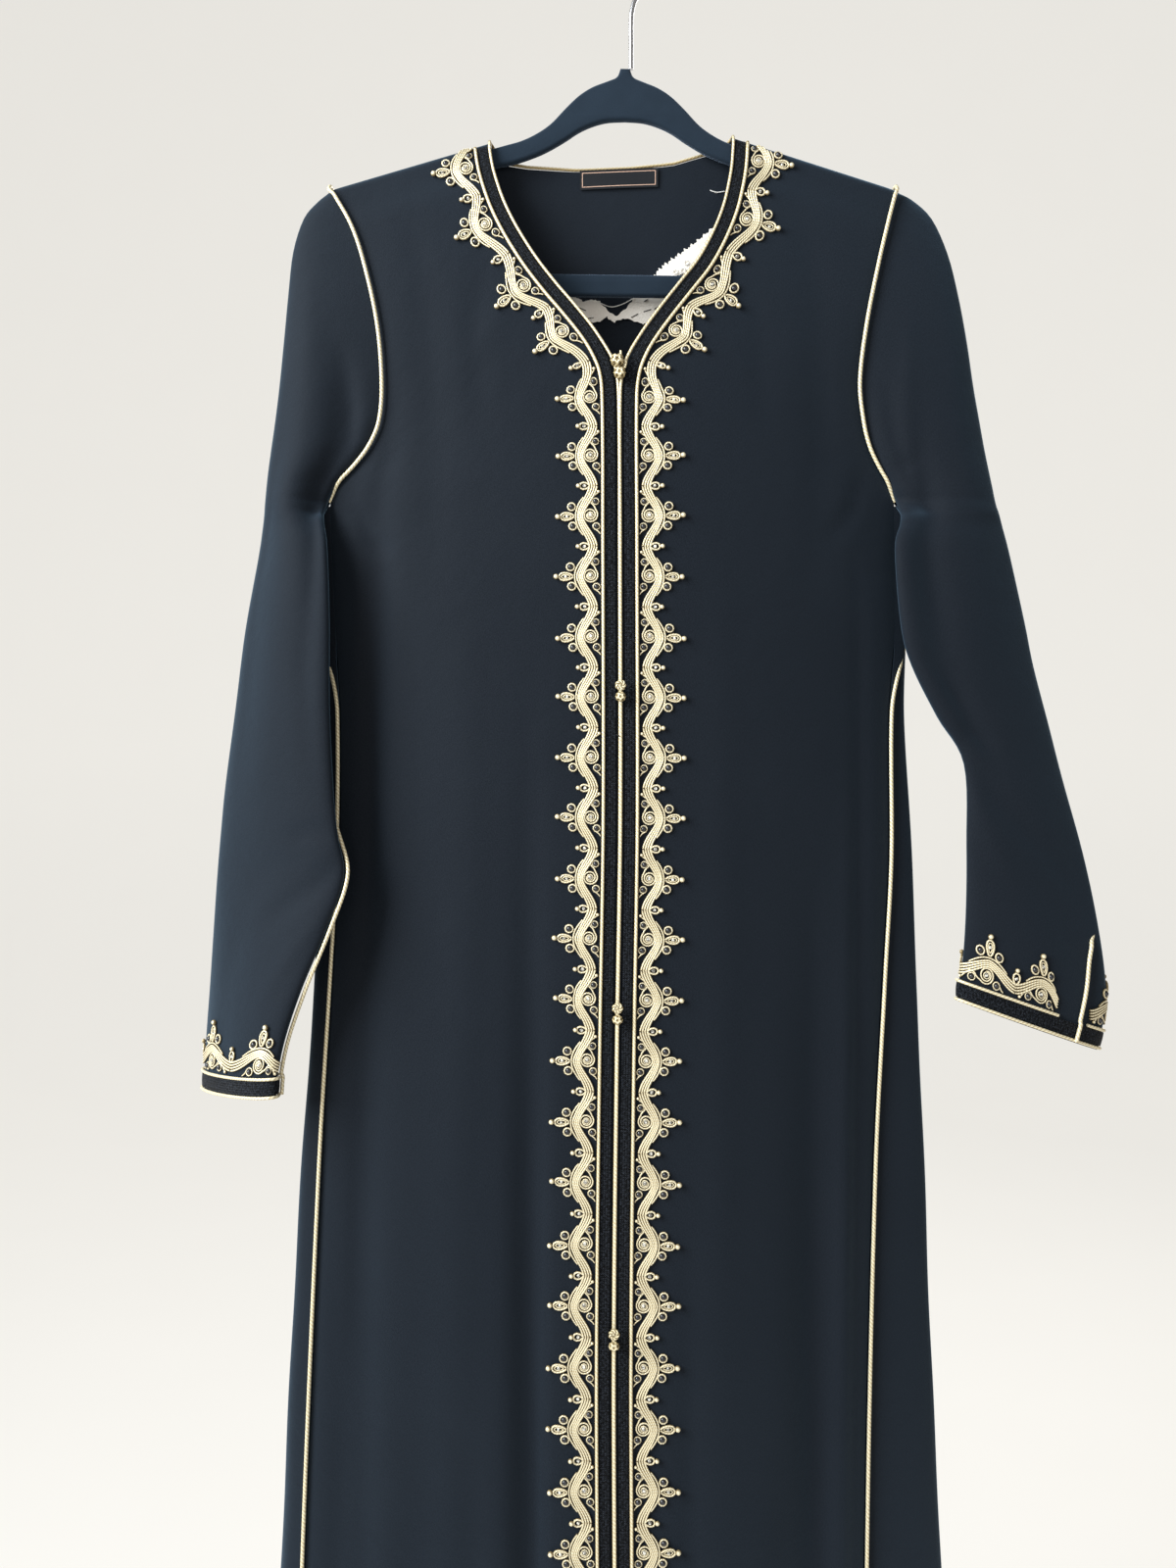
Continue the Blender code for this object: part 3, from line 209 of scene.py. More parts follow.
# %% Measurements of the body
HEM = -1529
UNDERARM = -371
GORE_TOP = -383
CLOTH = 1.2  # wall of the crepe with its lining
SEAM_INSET = 0.45  # each panel stops this short of a corner seam
ARCH_RADIUS = 5
SHOULDER_SLOPE = 0.308
SHOULDER_HEIGHT = -131
SHOULDER_REACH = 93
HANGER_TILT = 0.0131
HANGER_CENTRE = -4
DEPTH_POWER = 2.4
SETTLE_DROP, CREASE_DROP = 30, 60  # below the shoulder the cloth and its creases come in
FOLD_FADE = 8

COLUMN = {-1: 1, 1: 2}  # where the tables below keep each side

# Front edges from the shoulder to the hem: height, X at the left and at the right. The two begin at
# heights of their own.
NECK_TOPS = {-1: (-130, -94.2), 1: (-126.4, 67.2)}
NECK_ROWS = (
    (-146, -91.8, 65.8), (-160, -88.2, 63.5), (-176, -82.4, 59.6), (-193, -73.9, 53), (-212, -62.2, 43),
    (-229, -49.6, 30.2), (-243, -38, 19.5), (-259, -25.5, 8), (-272, -17.4, 0.2), (-287, -11.2, -5.6),
    (-305, -9, -8), (-400, -8.4, -8), (-585, -8.2, -7.8), (-728, -10.4, -10), (-930, -12.6, -12.2),
    (-1100, -12, -11.6), (HEM, -11.4, -11),
)
NECK = {side: (NECK_TOPS[side],) + tuple((row[0], row[COLUMN[side]]) for row in NECK_ROWS)
        for side, name in SIDES}

# Armhole seam: height, X at the left and at the right.
ARMHOLE = (
    (-160.7, -201.9, 177.6), (-187, -187, 170.6), (-214, -177.8, 164.1), (-254, -169, 156),
    (-293, -165.9, 151.5), (-319, -168.2, 154.4), (-335, -175.5, 158.8), (-347, -185.3, 165),
    (-357, -195.5, 171.4), (-365, -200.8, 175.6), (-371, -203.5, 178),
)

# Side seams below the underarm: height, X of the front seam left and right, X of the outermost
# cloth of the gore left and right.
SIDE = (
    (-371, -203.5, 178, -204.6, 179.2), (-390, -203.2, 178.3, -206, 181),
    (-415, -202.3, 178.6, -209.5, 185.5),
    (-455, -200, 178.6, -210.5, 187), (-515, -196.5, 174.2, -209.5, 186),
    (-610, -197, 173.8, -210.8, 191.6), (-693, -201, 169, -214.5, 193.4),
    (-815, -207.5, 162, -223.5, 198.8), (-1078, -217.4, 154.8, -236.2, 209.4),
    (HEM, -228, 148, -261, 228),
)

# How far the cloth stands forward of, or behind, the hanger's arm: height, front middle, front edge,
# back middle, back edge.
DEPTH = (
    (-125, 0, 0, 3, 0), (-165, 5, 1, 6, 1.5), (-200, 9, 3, 9, 3),
    (-240, 13, 5, 12, 5), (-285, 17, 5, 14.5, 6), (-330, 19, 2, 16, 5),
    (-371, 20, -4.5, 17, -1.5), (-400, 20.3, -6, 17.3, 3), (-440, 20.6, -6, 17.6, 6.5),
    (-500, 21, -6, 18, 8), (-650, 22, -4, 19, 9), (-800, 25, 0, 20, 10),
    (-1000, 29, 4, 22, 13), (-1200, 33, 9, 26, 16), (HEM, 40, 16, 32, 22),
)

# Large folds: X at the top and at the hem, height where it starts and where it is full, depth
# (positive is a ridge, negative a trough) and width.
FRONT_FOLDS = (
    (-67, -69, -420, -1000, -6.5, 10), (-84, -92, -600, -1300, 4, 24), (-172, -188, -330, -900, -4, 13),
    (-132, -146, -800, -1500, -4, 16), (118, 120, -560, -1050, -7, 15), (146, 137, -480, -900, 4.5, 8),
    (74, 72, -700, -1400, 3.5, 20),
)
BACK_FOLDS = (
    (-128, -150, -420, -1100, -6, 18), (-62, -74, -500, -1300, 5, 22), (6, 14, -380, -1000, -6, 20),
    (70, 86, -560, -1250, 5, 20), (128, 136, -460, -1100, -5, 16),
)

print("fronts from", NECK[-1][0][0], "down to", HEM)

# %% [markdown]
# ## Creases
# The large folds are in the tables above. The small ones are what makes cloth look like cloth:
# soft troughs and ridges from where the garment is held, at the neck and under the arms. Each is
# a line of a few points with its depth and width in millimetres, and a negative depth is a
# trough. They are placed unevenly, as a hanging gown has them.

# %% Small creases of the body
FRONT_CREASES = (
    # left front
    (-2.6, 9, -158, -300, -168, -380, -172, -520, -176, -660),
    (-1.2, 12, -150, -170, -136, -240, -131, -330, -133, -420),
    (-1.6, 5, -186, -372, -176, -395, -160, -408), (1.4, 5, -190, -384, -184, -430, -186, -520),
    (1.5, 15, -112, -420, -108, -620, -116, -860, -122, -1180),
    (-1.8, 6, -60, -700, -62, -980, -64, -1300, -66, -1529),
    (-1.5, 7, -200, -780, -196, -980, -200, -1250, -206, -1500),
    (1.5, 9, -180, -900, -184, -1150, -190, -1529), (-2.2, 10, -104, -990, -100, -1200, -108, -1529),
    (-0.8, 9, -96, -205, -104, -260, -100, -330), (0.6, 8, -78, -236, -92, -262, -112, -282),
    # right front
    (-2.4, 4.5, 151, -408, 152, -560, 150, -760, 146, -1080, 140, -1500),
    (1.3, 4.5, 163, -430, 163, -600, 158, -860), (-1.4, 12, 110, -165, 122, -230, 126, -330, 120, -430),
    (-1.5, 5, 158, -345, 146, -380, 130, -400), (-0.8, 9, 70, -205, 84, -262, 86, -330),
    (1.3, 13, 58, -420, 60, -640, 56, -900, 58, -1240), (-1.6, 7, 36, -860, 38, -1120, 40, -1529),
    (-2, 9, 100, -1000, 98, -1240, 104, -1529), (-1.4, 7, 122, -620, 119, -860, 121, -1180),
    (1.5, 7, 134, -980, 130, -1250, 132, -1529),
)
BACK_CREASES = (
    (-1.4, 12, -140, -200, -128, -300, -124, -420), (-1.3, 12, 118, -200, 108, -300, 110, -440),
    (-1.5, 6, -178, -372, -160, -396, -140, -404), (-1.5, 6, 160, -372, 142, -398, 120, -404),
    (-2.2, 10, -96, -520, -100, -760, -108, -1100, -114, -1529),
    (-2, 11, -30, -640, -34, -900, -32, -1529), (-1.8, 9, 44, -560, 48, -860, 54, -1300),
    (1.8, 10, 98, -640, 104, -900, 112, -1529), (1.6, 9, -160, -560, -168, -860, -182, -1400),
    (-1, 14, -4, -250, -8, -330, 2, -440),
)
print(len(FRONT_CREASES), "creases in front and", len(BACK_CREASES), "behind")

# %% [markdown]
# ## From tables to surfaces
# The front and the back are each a height field over the plane of the hanger: for a place X, Z
# the cloth stands so far forward or back. Working on whole arrays at once makes a fine grid
# cheap, and everything that lies on the cloth can ask the same function where the cloth is.

# %% Reading a table
def along(table, heights, column):
    """A column's value at these heights, on a smooth curve through the table's rows."""
    table = np.asarray(table, float)
    heights = np.clip(np.asarray(heights, float), table[-1, 0], table[0, 0])
    row = np.clip(np.searchsorted(-table[:, 0], -heights, side="left") - 1, 0, len(table) - 2)
    level, value = table[:, 0], table[:, column]
    numbers = np.arange(len(table))
    before, after = np.maximum(numbers - 1, 0), np.minimum(numbers + 1, len(table) - 1)
    slope = (value[after] - value[before]) / (level[after] - level[before])
    span = level[row + 1] - level[row]
    share = (heights - level[row]) / span
    square, cube = share ** 2, share ** 3
    return ((2 * cube - 3 * square + 1) * value[row] + (cube - 2 * square + share) * span * slope[row]
            + (3 * square - 2 * cube) * value[row + 1] + (cube - square) * span * slope[row + 1])


def soft_step(share):
    share = np.clip(share, 0, 1)
    return share * share * (3 - 2 * share)


def crease_sum(creases, x, z, scale=1.0):
    """Depth of every small crease at these places; each dies out towards its ends."""
    total = np.zeros(np.broadcast(x, z).shape)
    for depth, width, *line in creases:
        points = np.reshape(np.array(line, float), (-1, 2))
        lengths = np.hypot(*(np.diff(points, axis=0) * (scale, 1)).T)
        travelled = np.concatenate(([0], np.cumsum(lengths)))
        best = np.full(total.shape, np.inf)
        where = np.zeros(total.shape)
        for index in range(len(points) - 1):
            start, step = points[index], points[index + 1] - points[index]
            ahead = (x - start[0]) * step[0] * scale ** 2 + (z - start[1]) * step[1]
            ahead = np.clip(ahead / lengths[index] ** 2, 0, 1)
            away = np.hypot((x - start[0] - step[0] * ahead) * scale, z - start[1] - step[1] * ahead)
            nearer = away < best
            best = np.where(nearer, away, best)
            passed = (travelled[index] + ahead * lengths[index]) / travelled[-1]
            where = np.where(nearer, passed, where)
        fade = np.sin(np.pi * np.clip(where * 0.94 + 0.03, 0, 1)) ** 0.7
        total += depth * fade * np.exp(-(best / width) ** 2)
    return total


print("neck edge at -200 mm:", round(float(along(NECK[-1], -200, 1)), 2))

# %% Where the cloth of the body stands
def shoulder_height(x):
    out = x - HANGER_CENTRE
    return SHOULDER_HEIGHT - SHOULDER_SLOPE * (np.abs(out) - SHOULDER_REACH) - HANGER_TILT * out


def side_limit(height, side):
    table_column = COLUMN[side]
    return np.where(height > UNDERARM, along(ARMHOLE, height, table_column),
                    along(SIDE, height, table_column))


def arch(drop):
    """How far the cloth stands out just below the shoulder line."""
    drop = np.clip(drop, 0, ARCH_RADIUS)
    return np.sqrt(ARCH_RADIUS ** 2 - (ARCH_RADIUS - drop) ** 2)


def fold_sum(folds, x, height):
    total = 0
    for top_x, hem_x, start, full, size, width in folds:
        grown = soft_step((start - height) / (start - full))
        centre = top_x + (hem_x - top_x) * (height - start) / (HEM - start)
        total = total + size * grown * np.exp(-((x - centre) / width) ** 2)
    return total


def panel_depth(x, height, middle_column, folds, creases):
    left, right = side_limit(height, -1), side_limit(height, 1)
    middle = along(NECK[-1], height, 1)
    reach = np.where(x < middle, middle - left, right - middle)
    share = np.minimum(1, np.abs(x - middle) / reach)
    edge_depth = along(DEPTH, height, middle_column + 1)
    middle_depth = along(DEPTH, height, middle_column)
    drop = shoulder_height(x) - height
    bulge = edge_depth + (middle_depth - edge_depth) * (1 - share ** DEPTH_POWER)
    fade = np.minimum(1, (1 - share) * FOLD_FADE)
    settle = np.clip(drop / SETTLE_DROP, 0, 1)
    small = crease_sum(creases, x, height) * np.clip(drop / CREASE_DROP, 0, 1)
    return arch(drop) + bulge * settle + (fold_sum(folds, x, height) + small) * fade


def front_y(x, height):
    return -panel_depth(x, height, 1, FRONT_FOLDS, FRONT_CREASES)


def back_y(x, height):
    return panel_depth(x, height, 3, BACK_FOLDS, BACK_CREASES)


def facing(surface, x, height):
    """The direction that looks out of the cloth."""
    step = 1
    across = (surface(x + step, height) - surface(x - step, height)) / (2 * step)
    down = (surface(x, height + step) - surface(x, height - step)) / (2 * step)
    normal = np.stack([across, -np.ones_like(across), down], axis=-1)
    normal /= np.linalg.norm(normal, axis=-1, keepdims=True)
    return -normal if surface is back_y else normal


def on_cloth(surface, x, height):
    return np.stack([x, surface(x, height), height], axis=-1)


def lifted(surface, x, height, lift):
    """Points moved out from the cloth, or into the garment with a negative lift."""
    x, height = np.asarray(x, float), np.asarray(height, float)
    return on_cloth(surface, x, height) + facing(surface, x, height) * lift


def paired(first, second):
    """Both as arrays of decimal numbers, of one shape."""
    return np.broadcast_arrays(np.asarray(first, float), np.asarray(second, float))


def laid_flat(first, second):
    """Where each point lies on the piece laid flat."""
    return np.stack(np.broadcast_arrays(first, second), axis=-1)


def reached_along(points):
    """How far along a line each of its points lies."""
    return np.concatenate([[0], np.cumsum(np.linalg.norm(np.diff(points, axis=0), axis=-1))])


waist = float(front_y(np.array(-100), np.array(-600)))
print("front stands", round(-waist, 1), "mm forward at the waist")

# %% [markdown]
# ## A sheet of cloth
# Every panel is made alike: a fine grid of points, sewn into one surface, given its flat cut as
# UVs in metres and then a wall by Solidify, which grows it inwards so that the outside stays
# where the tables put it. The modifier is applied at once, so that the piece is kept as a plain
# mesh.

# %% Grid, flat cut and wall
def settle_mesh(made):
    """Keeps the piece's evaluated shape as its plain mesh, with no modifier left."""
    graph = bpy.context.evaluated_depsgraph_get()
    mesh = bpy.data.meshes.new_from_object(made.evaluated_get(graph), depsgraph=graph)
    made.modifiers.clear()
    made.data = mesh


def new_piece(name, points, edges=(), faces=(), kept=None):
    """An object through points in metres, with named values kept on its points."""
    data = bpy.data.meshes.new(name)
    data.from_pydata(points, edges, faces)
    for key, values in (kept or {}).items():
        values = np.asarray(values, np.float32)
        kind, field = ("FLOAT", "value") if values.ndim == 1 else ("FLOAT_VECTOR", "vector")
        data.attributes.new(key, kind, "POINT").data.foreach_set(field, values.reshape(-1))
    return put(name, data)


def grid_mesh(name, points, flat=None, kept=None):
    """A mesh through rows of points in millimetres; across x down faces outwards."""
    rows, columns = points.shape[:2]
    number = np.arange(rows * columns).reshape(rows, columns)
    faces = np.stack([number[:-1, :-1], number[1:, :-1], number[1:, 1:], number[:-1, 1:]], axis=-1)
    made = new_piece(name, (points.reshape(-1, 3) * MM).tolist(), [], faces.reshape(-1, 4).tolist(), kept)
    flat = flat_cut(points) if flat is None else flat
    corners = np.stack([flat[:-1, :-1], flat[1:, :-1], flat[1:, 1:], flat[:-1, 1:]], axis=2)
    layer = made.data.uv_layers.new(name="cut")
    layer.data.foreach_set("uv", (corners * MM).reshape(-1).astype(np.float32))
    made.data.shade_smooth()
    return made


def flat_cut(points):
    """Where each point lay before sewing: distance across its row and down the middle."""
    across = np.linalg.norm(np.diff(points, axis=1), axis=-1)
    across = np.concatenate([np.zeros((len(points), 1)), np.cumsum(across, axis=1)], axis=1)
    middle = points.shape[1] // 2
    across -= across[:, middle:middle + 1]
    down = reached_along(points[:, middle])
    return np.stack([across, np.broadcast_to(-down[:, None], across.shape)], axis=-1)


@contextmanager
def edited(data):
    """The mesh in Blender's mesh editor, written back afterwards."""
    mesh = bmesh.new()
    mesh.from_mesh(data)
    yield mesh
    mesh.to_mesh(data)
    mesh.free()


def sew_shut(made, gap=0.02):
    """Joins the points that two rows or edges share."""
    with edited(made.data) as mesh:
        bmesh.ops.remove_doubles(mesh, verts=mesh.verts, dist=gap * MM)


def wall(made, thickness, finish, sharp=50):
    """Gives a sheet its thickness, inwards, and its finish."""
    made.data.materials.append(finish.material)
    grow = made.modifiers.new("wall", "SOLIDIFY")
    grow.thickness = thickness * MM
    grow.offset = -1
    settle_mesh(made)
    made.data.set_sharp_from_angle(angle=math.radians(sharp))
    return made


def area_of(points):
    """Area of a grid in square metres."""
    one = points[1:, :-1] - points[:-1, :-1]
    two = points[:-1, 1:] - points[:-1, :-1]
    return float(np.linalg.norm(np.cross(one, two), axis=-1).sum() * 1e-6)


def dress(made, slot, *replaced):
    """The piece rides on the body and stands for its nodes."""
    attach(made, "root")
    if replaced:
        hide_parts(*replaced)


def sew_panel(name, node, points, flat, tube=False):
    """One panel of crepe with its wall, its node and its flat cut."""
    panel = grid_mesh(name, points)
    if tube:
        sew_shut(panel)
    dress(wall(panel, CLOTH, crepe), "navy_crepe", node)
    area = min(area_of(points), flat[0] * flat[1])
    print(name, len(panel.data.polygons), "faces,", round(area, 3), "m2")


print("cloth is", CLOTH, "mm thick")

# %% [markdown]
# ## Fronts
# Each front is cut in one length from shoulder to hem. Its rows are ruled from the front edge to
# the armhole, because the neck edge drops faster than the armhole does, and below the underarm
# they run level.

# %% Rows of the fronts
PANEL_ROWS = (
    (-146, -176), (-163, -198), (-180, -225), (-198, -258), (-216, -290),
    (-234, -314), (-252, -332), (-268, -346), (-284, -358), (-302, -370),
    (-340, -394), (-390, -422), (-460, -470), (-530, -530), (-600, -600),
    (HEM, HEM),
)
ARCH_ANGLES = (3, 14, 28, 44, 62, 78)
ROW_STEP, COLUMN_STEP = 6, 4.5
ROLL_DEPTH, ROLL_REACH, ROLL_TOP, ROLL_FADE = 0.7, 3, -150, 40
HEM_RISE, HEM_TURN = 22, 0.5
# Flat cut of each panel as it hangs, in metres.
FRONT_FLAT, BACK_FLAT = {-1: (0.225, 1.405), 1: (0.2, 1.41)}, (0.42, 1.4)
GORE_FLAT, SLEEVE_FLAT = {-1: (0.085, 1.147), 1: (0.14, 1.147)}, (0.23, 0.61)


def arch_drop(angle):
    return ARCH_RADIUS * (1 - math.cos(math.radians(angle)))


def ruled_rows(top, tip):
    """Height on the inner and the outer edge for every row, closely spaced, and how many arch over."""
    rows = [(top - arch_drop(angle), tip - arch_drop(angle)) for angle in ARCH_ANGLES]
    coarse = [(top - ARCH_RADIUS, tip - ARCH_RADIUS)] + list(PANEL_ROWS)
    for (inner, outer), (next_inner, next_outer) in zip(coarse, coarse[1:]):
        count = max(1, round(max(inner - next_inner, outer - next_outer) / ROW_STEP))
        for index in range(count):
            share = index / count
            rows.append((inner + (next_inner - inner) * share, outer + (next_outer - outer) * share))
    rows.append((HEM, HEM))
    return np.array(rows)


def rolled(surface, x, height, share, width, outwards):
    """A panel's points: it rolls in beside its seams and curves under at the hem."""
    near = np.minimum(share, 1 - share) * width
    roll = -ROLL_DEPTH * np.exp(-(near / ROLL_REACH) ** 2)
    roll = roll * np.clip((ROLL_TOP - height) / ROLL_FADE, 0, 1)
    points = lifted(surface, x, height, roll[..., None])
    turned = np.clip(1 - (height - HEM) / HEM_RISE, 0, 1) ** 0.25 * HEM_TURN
    points[..., 1] += outwards * np.where(height < HEM + HEM_RISE, turned, 0)
    return points


def front_grid(side):
    rows = ruled_rows(NECK[side][0][0], ARMHOLE[0][0])
    inner_x = along(NECK[side], rows[:, 0], 1)
    outer_x = side_limit(rows[:, 1], side) - side * SEAM_INSET
    share = np.linspace(0, 1, int(200 / COLUMN_STEP) + 1)
    share = share - 0.016 * np.sin(2 * np.pi * share)
    x = inner_x[:, None] + (outer_x - inner_x)[:, None] * share
    height = rows[:, :1] + (rows[:, 1:] - rows[:, :1]) * share
    for number, angle in enumerate(ARCH_ANGLES):
        height[number] = shoulder_height(x[number]) - arch_drop(angle)
    points = rolled(front_y, x, height, share[None, :], np.abs(outer_x - inner_x)[:, None], -1)
    return points if side > 0 else points[:, ::-1]


for side, name in SIDES:
    sew_panel("crepe_front_" + name, "front_" + name, front_grid(side), FRONT_FLAT[side])

# %% [markdown]
# ## The back
# The back is one piece. Over the shoulders its rows follow the neck edge, which dips behind, and
# the columns at the neck's two corners are drawn straight down from the front's own corners, so
# that front and back meet at a point there.

# %% The back
BACK_COLUMNS = (0, 0.07, 0.17, 0.276, 0.2925, 0.325, 0.4, 0.49, 0.59, 0.655, 0.7, 0.713, 0.81,
                0.91, 1)
LEFT_CORNER, RIGHT_CORNER = 3, 11
NECK_SETTLE, BACK_WIDE = 34, 400
BACK_NECK = ((-94.2, 0), (-90.7, 6.6), (-85.7, 11.5), (-70, 13.8), (-35, 16), (0, 15.5),
             (29.7, 13.5), (46.3, 9.7), (58, 7.2), (63.6, 5.6), (67.2, 0))


def back_neck_height(x):
    left_x, right_x = NECK[-1][0][1], NECK[1][0][1]
    share = (x - left_x) / (right_x - left_x)
    line = shoulder_height(left_x) * (1 - share) + shoulder_height(right_x) * share
    table = np.array(BACK_NECK)
    return line - np.interp(x, table[:, 0], table[:, 1])


def back_grid():
    tip = ARMHOLE[0][0]
    levels = ruled_rows(NECK[-1][0][0], tip)[:, 1]
    left = side_limit(levels, -1) + SEAM_INSET
    right = side_limit(levels, 1) - SEAM_INSET
    coarse = left[:, None] + (right - left)[:, None] * np.array(BACK_COLUMNS)
    settled = np.clip((tip - ARCH_RADIUS - levels) / NECK_SETTLE, 0, 1)
    for corner, side in ((LEFT_CORNER, -1), (RIGHT_CORNER, 1)):
        coarse[:, corner] = NECK[side][0][1] * (1 - settled) + coarse[:, corner] * settled
    fine = []
    for index in range(len(BACK_COLUMNS) - 1):
        wide = (BACK_COLUMNS[index + 1] - BACK_COLUMNS[index]) * BACK_WIDE
        count = max(1, round(wide / COLUMN_STEP))
        fine += list(index + np.arange(count) / count)
    fine = np.array(fine + [len(BACK_COLUMNS) - 1])
    numbers = np.arange(len(BACK_COLUMNS))
    x = np.stack([np.interp(fine, numbers, row) for row in coarse])
    inside = (fine > LEFT_CORNER) & (fine < RIGHT_CORNER)
    top = np.where(inside[None, :], back_neck_height(x), shoulder_height(x))
    level = levels[:, None]
    fall = (level - (tip - ARCH_RADIUS)) / (UNDERARM - tip + ARCH_RADIUS)
    height = (top - ARCH_RADIUS) * (1 - fall) + UNDERARM * fall
    for number, angle in enumerate(ARCH_ANGLES):
        height[number] = top[number] - arch_drop(angle)
    height = np.where(level <= UNDERARM, level, height)
    height[:, 0] = height[:, -1] = levels
    width = (right - left)[:, None]
    points = rolled(back_y, x, height, (x - left[:, None]) / width, width, 1)
    return points[:, ::-1], points[0, (fine >= LEFT_CORNER) & (fine <= RIGHT_CORNER)]


points, NECK_EDGE = back_grid()
sew_panel("crepe_back", "back", points, BACK_FLAT)

# %% [markdown]
# ## Side gores
# A long wedge is let in at each side to give the skirt its width. It is folded round the side of
# the body, from the front seam to the back one.

# %% The gores
GORE_TURNS, GORE_TIP = 17, 10


def catmull_rom(guide, index, share):
    """A smooth curve through the guide's points, one stretch at a time."""
    a, b, c, d = (guide[index + step] for step in range(4))
    return 0.5 * (2 * b + (c - a) * share + (2 * a - 5 * b + 4 * c - d) * share ** 2
                  + (3 * b - a - 3 * c + d) * share ** 3)


def through(points, count):
    """A smooth curve through a few points, sampled evenly by number."""
    points = np.asarray(points, float)
    guide = np.concatenate([[2 * points[0] - points[1]], points, [2 * points[-1] - points[-2]]])
    at = np.linspace(0, len(points) - 1, count)
    index = np.minimum(at.astype(int), len(points) - 2)
    return catmull_rom(guide, index, (at - index).reshape((-1,) + (1,) * (points.ndim - 1)))


def gore_grid(side):
    front_column, outer_column = COLUMN[side], COLUMN[side] + 2
    levels = np.linspace(GORE_TOP + GORE_TIP, HEM, 192)
    seam_x, outer_x = along(SIDE, levels, front_column), along(SIDE, levels, outer_column)
    outer_x = outer_x + side * 7 * np.exp(-((levels + 384) / 13) ** 2)
    tip = np.clip((levels - GORE_TOP) / GORE_TIP, 0, 1)
    outer_x = outer_x + (seam_x + side * 2.6 - outer_x) * tip * 0.7
    front, back = front_y(seam_x, levels), back_y(seam_x, levels)
    middle = (front + back) / 2
    inset = np.minimum(SEAM_INSET, (back - front) * 0.2)
    tucked = soft_step((levels + 478) / 24)
    start_x = seam_x + side * SEAM_INSET * (1 - 2.3 * tucked)
    end_x = seam_x - side * SEAM_INSET * 1.3
    bend_x = seam_x + (outer_x - seam_x) * 0.72
    line = [(start_x, front + inset), (bend_x, front * 0.58 + middle * 0.42), (outer_x, middle),
            (bend_x, back * 0.58 + middle * 0.42), (end_x, back - inset - 0.8)]
    line = np.array([[x, y, levels] for x, y in line]).transpose(0, 2, 1)
    points = through(line, GORE_TURNS).transpose(1, 0, 2)
    ripple = 0.8 * np.sin(levels / 61 + side) + 0.5 * np.sin(levels / 23)
    turn = np.sin(np.linspace(0, np.pi, GORE_TURNS)) ** 2
    grown = np.clip((GORE_TOP - 40 - levels) / 300, 0, 1)
    points[..., 0] += side * (ripple * grown)[:, None] * turn * 0.6
    return points if side > 0 else points[:, ::-1]


for side, name in SIDES:
    sew_panel("crepe_gore_" + name, "gore_" + name, gore_grid(side), GORE_FLAT[side])

# %% [markdown]
# ## Sleeves
# A sleeve is a tube that hangs almost flat. Above the underarm it is open towards the body, where
# its head is sewn round the armhole, and below it is closed by the underarm seam. Each row of the
# table gives the inner line, the outer line and how far the cloth stands off the line between
# them, forwards and backwards.

# %% Measurements of the sleeves
# Sleeve heads, row by row from the shoulder to the underarm: height on the armhole seam; X, height
# and Y of the outer edge; fullness forward and backward.
HEAD_LEFT = (
    (-161.2, -203.2, -161.8, 0, 0, 0), (-165.7, -211.5, -168.5, 0, 1, 1),
    (-176, -220.5, -180, -0.5, 2.5, 2.5), (-198, -227.6, -202, 0, 4.5, 4.5),
    (-225, -231, -231, 0.5, 6.5, 6.5), (-258, -234, -262, 1, 8.5, 8),
    (-290, -237.2, -293, 1.5, 10.5, 9.5), (-314, -240.3, -317, 2, 12, 10.5),
    (-332, -242.8, -335, 2, 13.5, 11.5), (-346, -244.6, -349, 2, 15, 12),
    (-358, -245.8, -361, 2, 16, 12), (-370, -246.8, -373, 2, 17, 12),
)
HEAD_RIGHT = (
    (-161.2, 179, -161.8, 0, 0, 0), (-165.7, 189.5, -167, 0, 1, 1),
    (-176, 202.5, -180, -0.5, 2.5, 2.5), (-198, 213, -204, -1, 4.5, 4.5),
    (-225, 219.8, -232, -1.5, 6.5, 6.5), (-258, 225.3, -263, -2, 8.5, 8),
    (-290, 229.6, -294, -2.5, 10.5, 9.5), (-314, 233.4, -317, -3, 12, 10.5),
    (-332, 236.4, -335, -3.5, 13, 11.5), (-346, 239, -349, -4, 14, 12),
    (-358, 241.5, -361, -4, 15, 12), (-370, 244, -373, -4, 15.5, 12),
)
# Sleeves below the underarm: height, X and Y of the inner edge; height, X and Y of the outer edge;
# fullness forward and backward. The left one hangs turned outwards.
SLEEVE_LEFT = (
    (-379, -205.2, -7, -380, -247.5, 2.5, 15, 14), (-388, -203.4, -15, -389, -249, 3.5, 12.5, 15),
    (-406, -199.8, -22, -407, -252.2, 5, 12, 14), (-455, -197, -28, -456, -262.3, 9, 12.5, 13),
    (-508, -196.5, -30, -508, -269.8, 12, 12, 12), (-560, -194, -31, -560, -277.6, 15, 12, 12),
    (-592, -191, -32, -592, -281.2, 16.5, 12, 12), (-620, -186.5, -33, -622, -284.2, 18, 12, 12),
    (-654, -197.5, -34, -658, -287.2, 20, 13, 12), (-691, -213, -34, -698, -290.2, 21.5, 14, 12),
    (-721, -223.5, -33, -724, -292.4, 22.5, 14, 13), (-744, -229, -32, -746, -294, 23.5, 14, 13),
    (-763, -231, -31, -771, -295, 24, 14, 13),
)
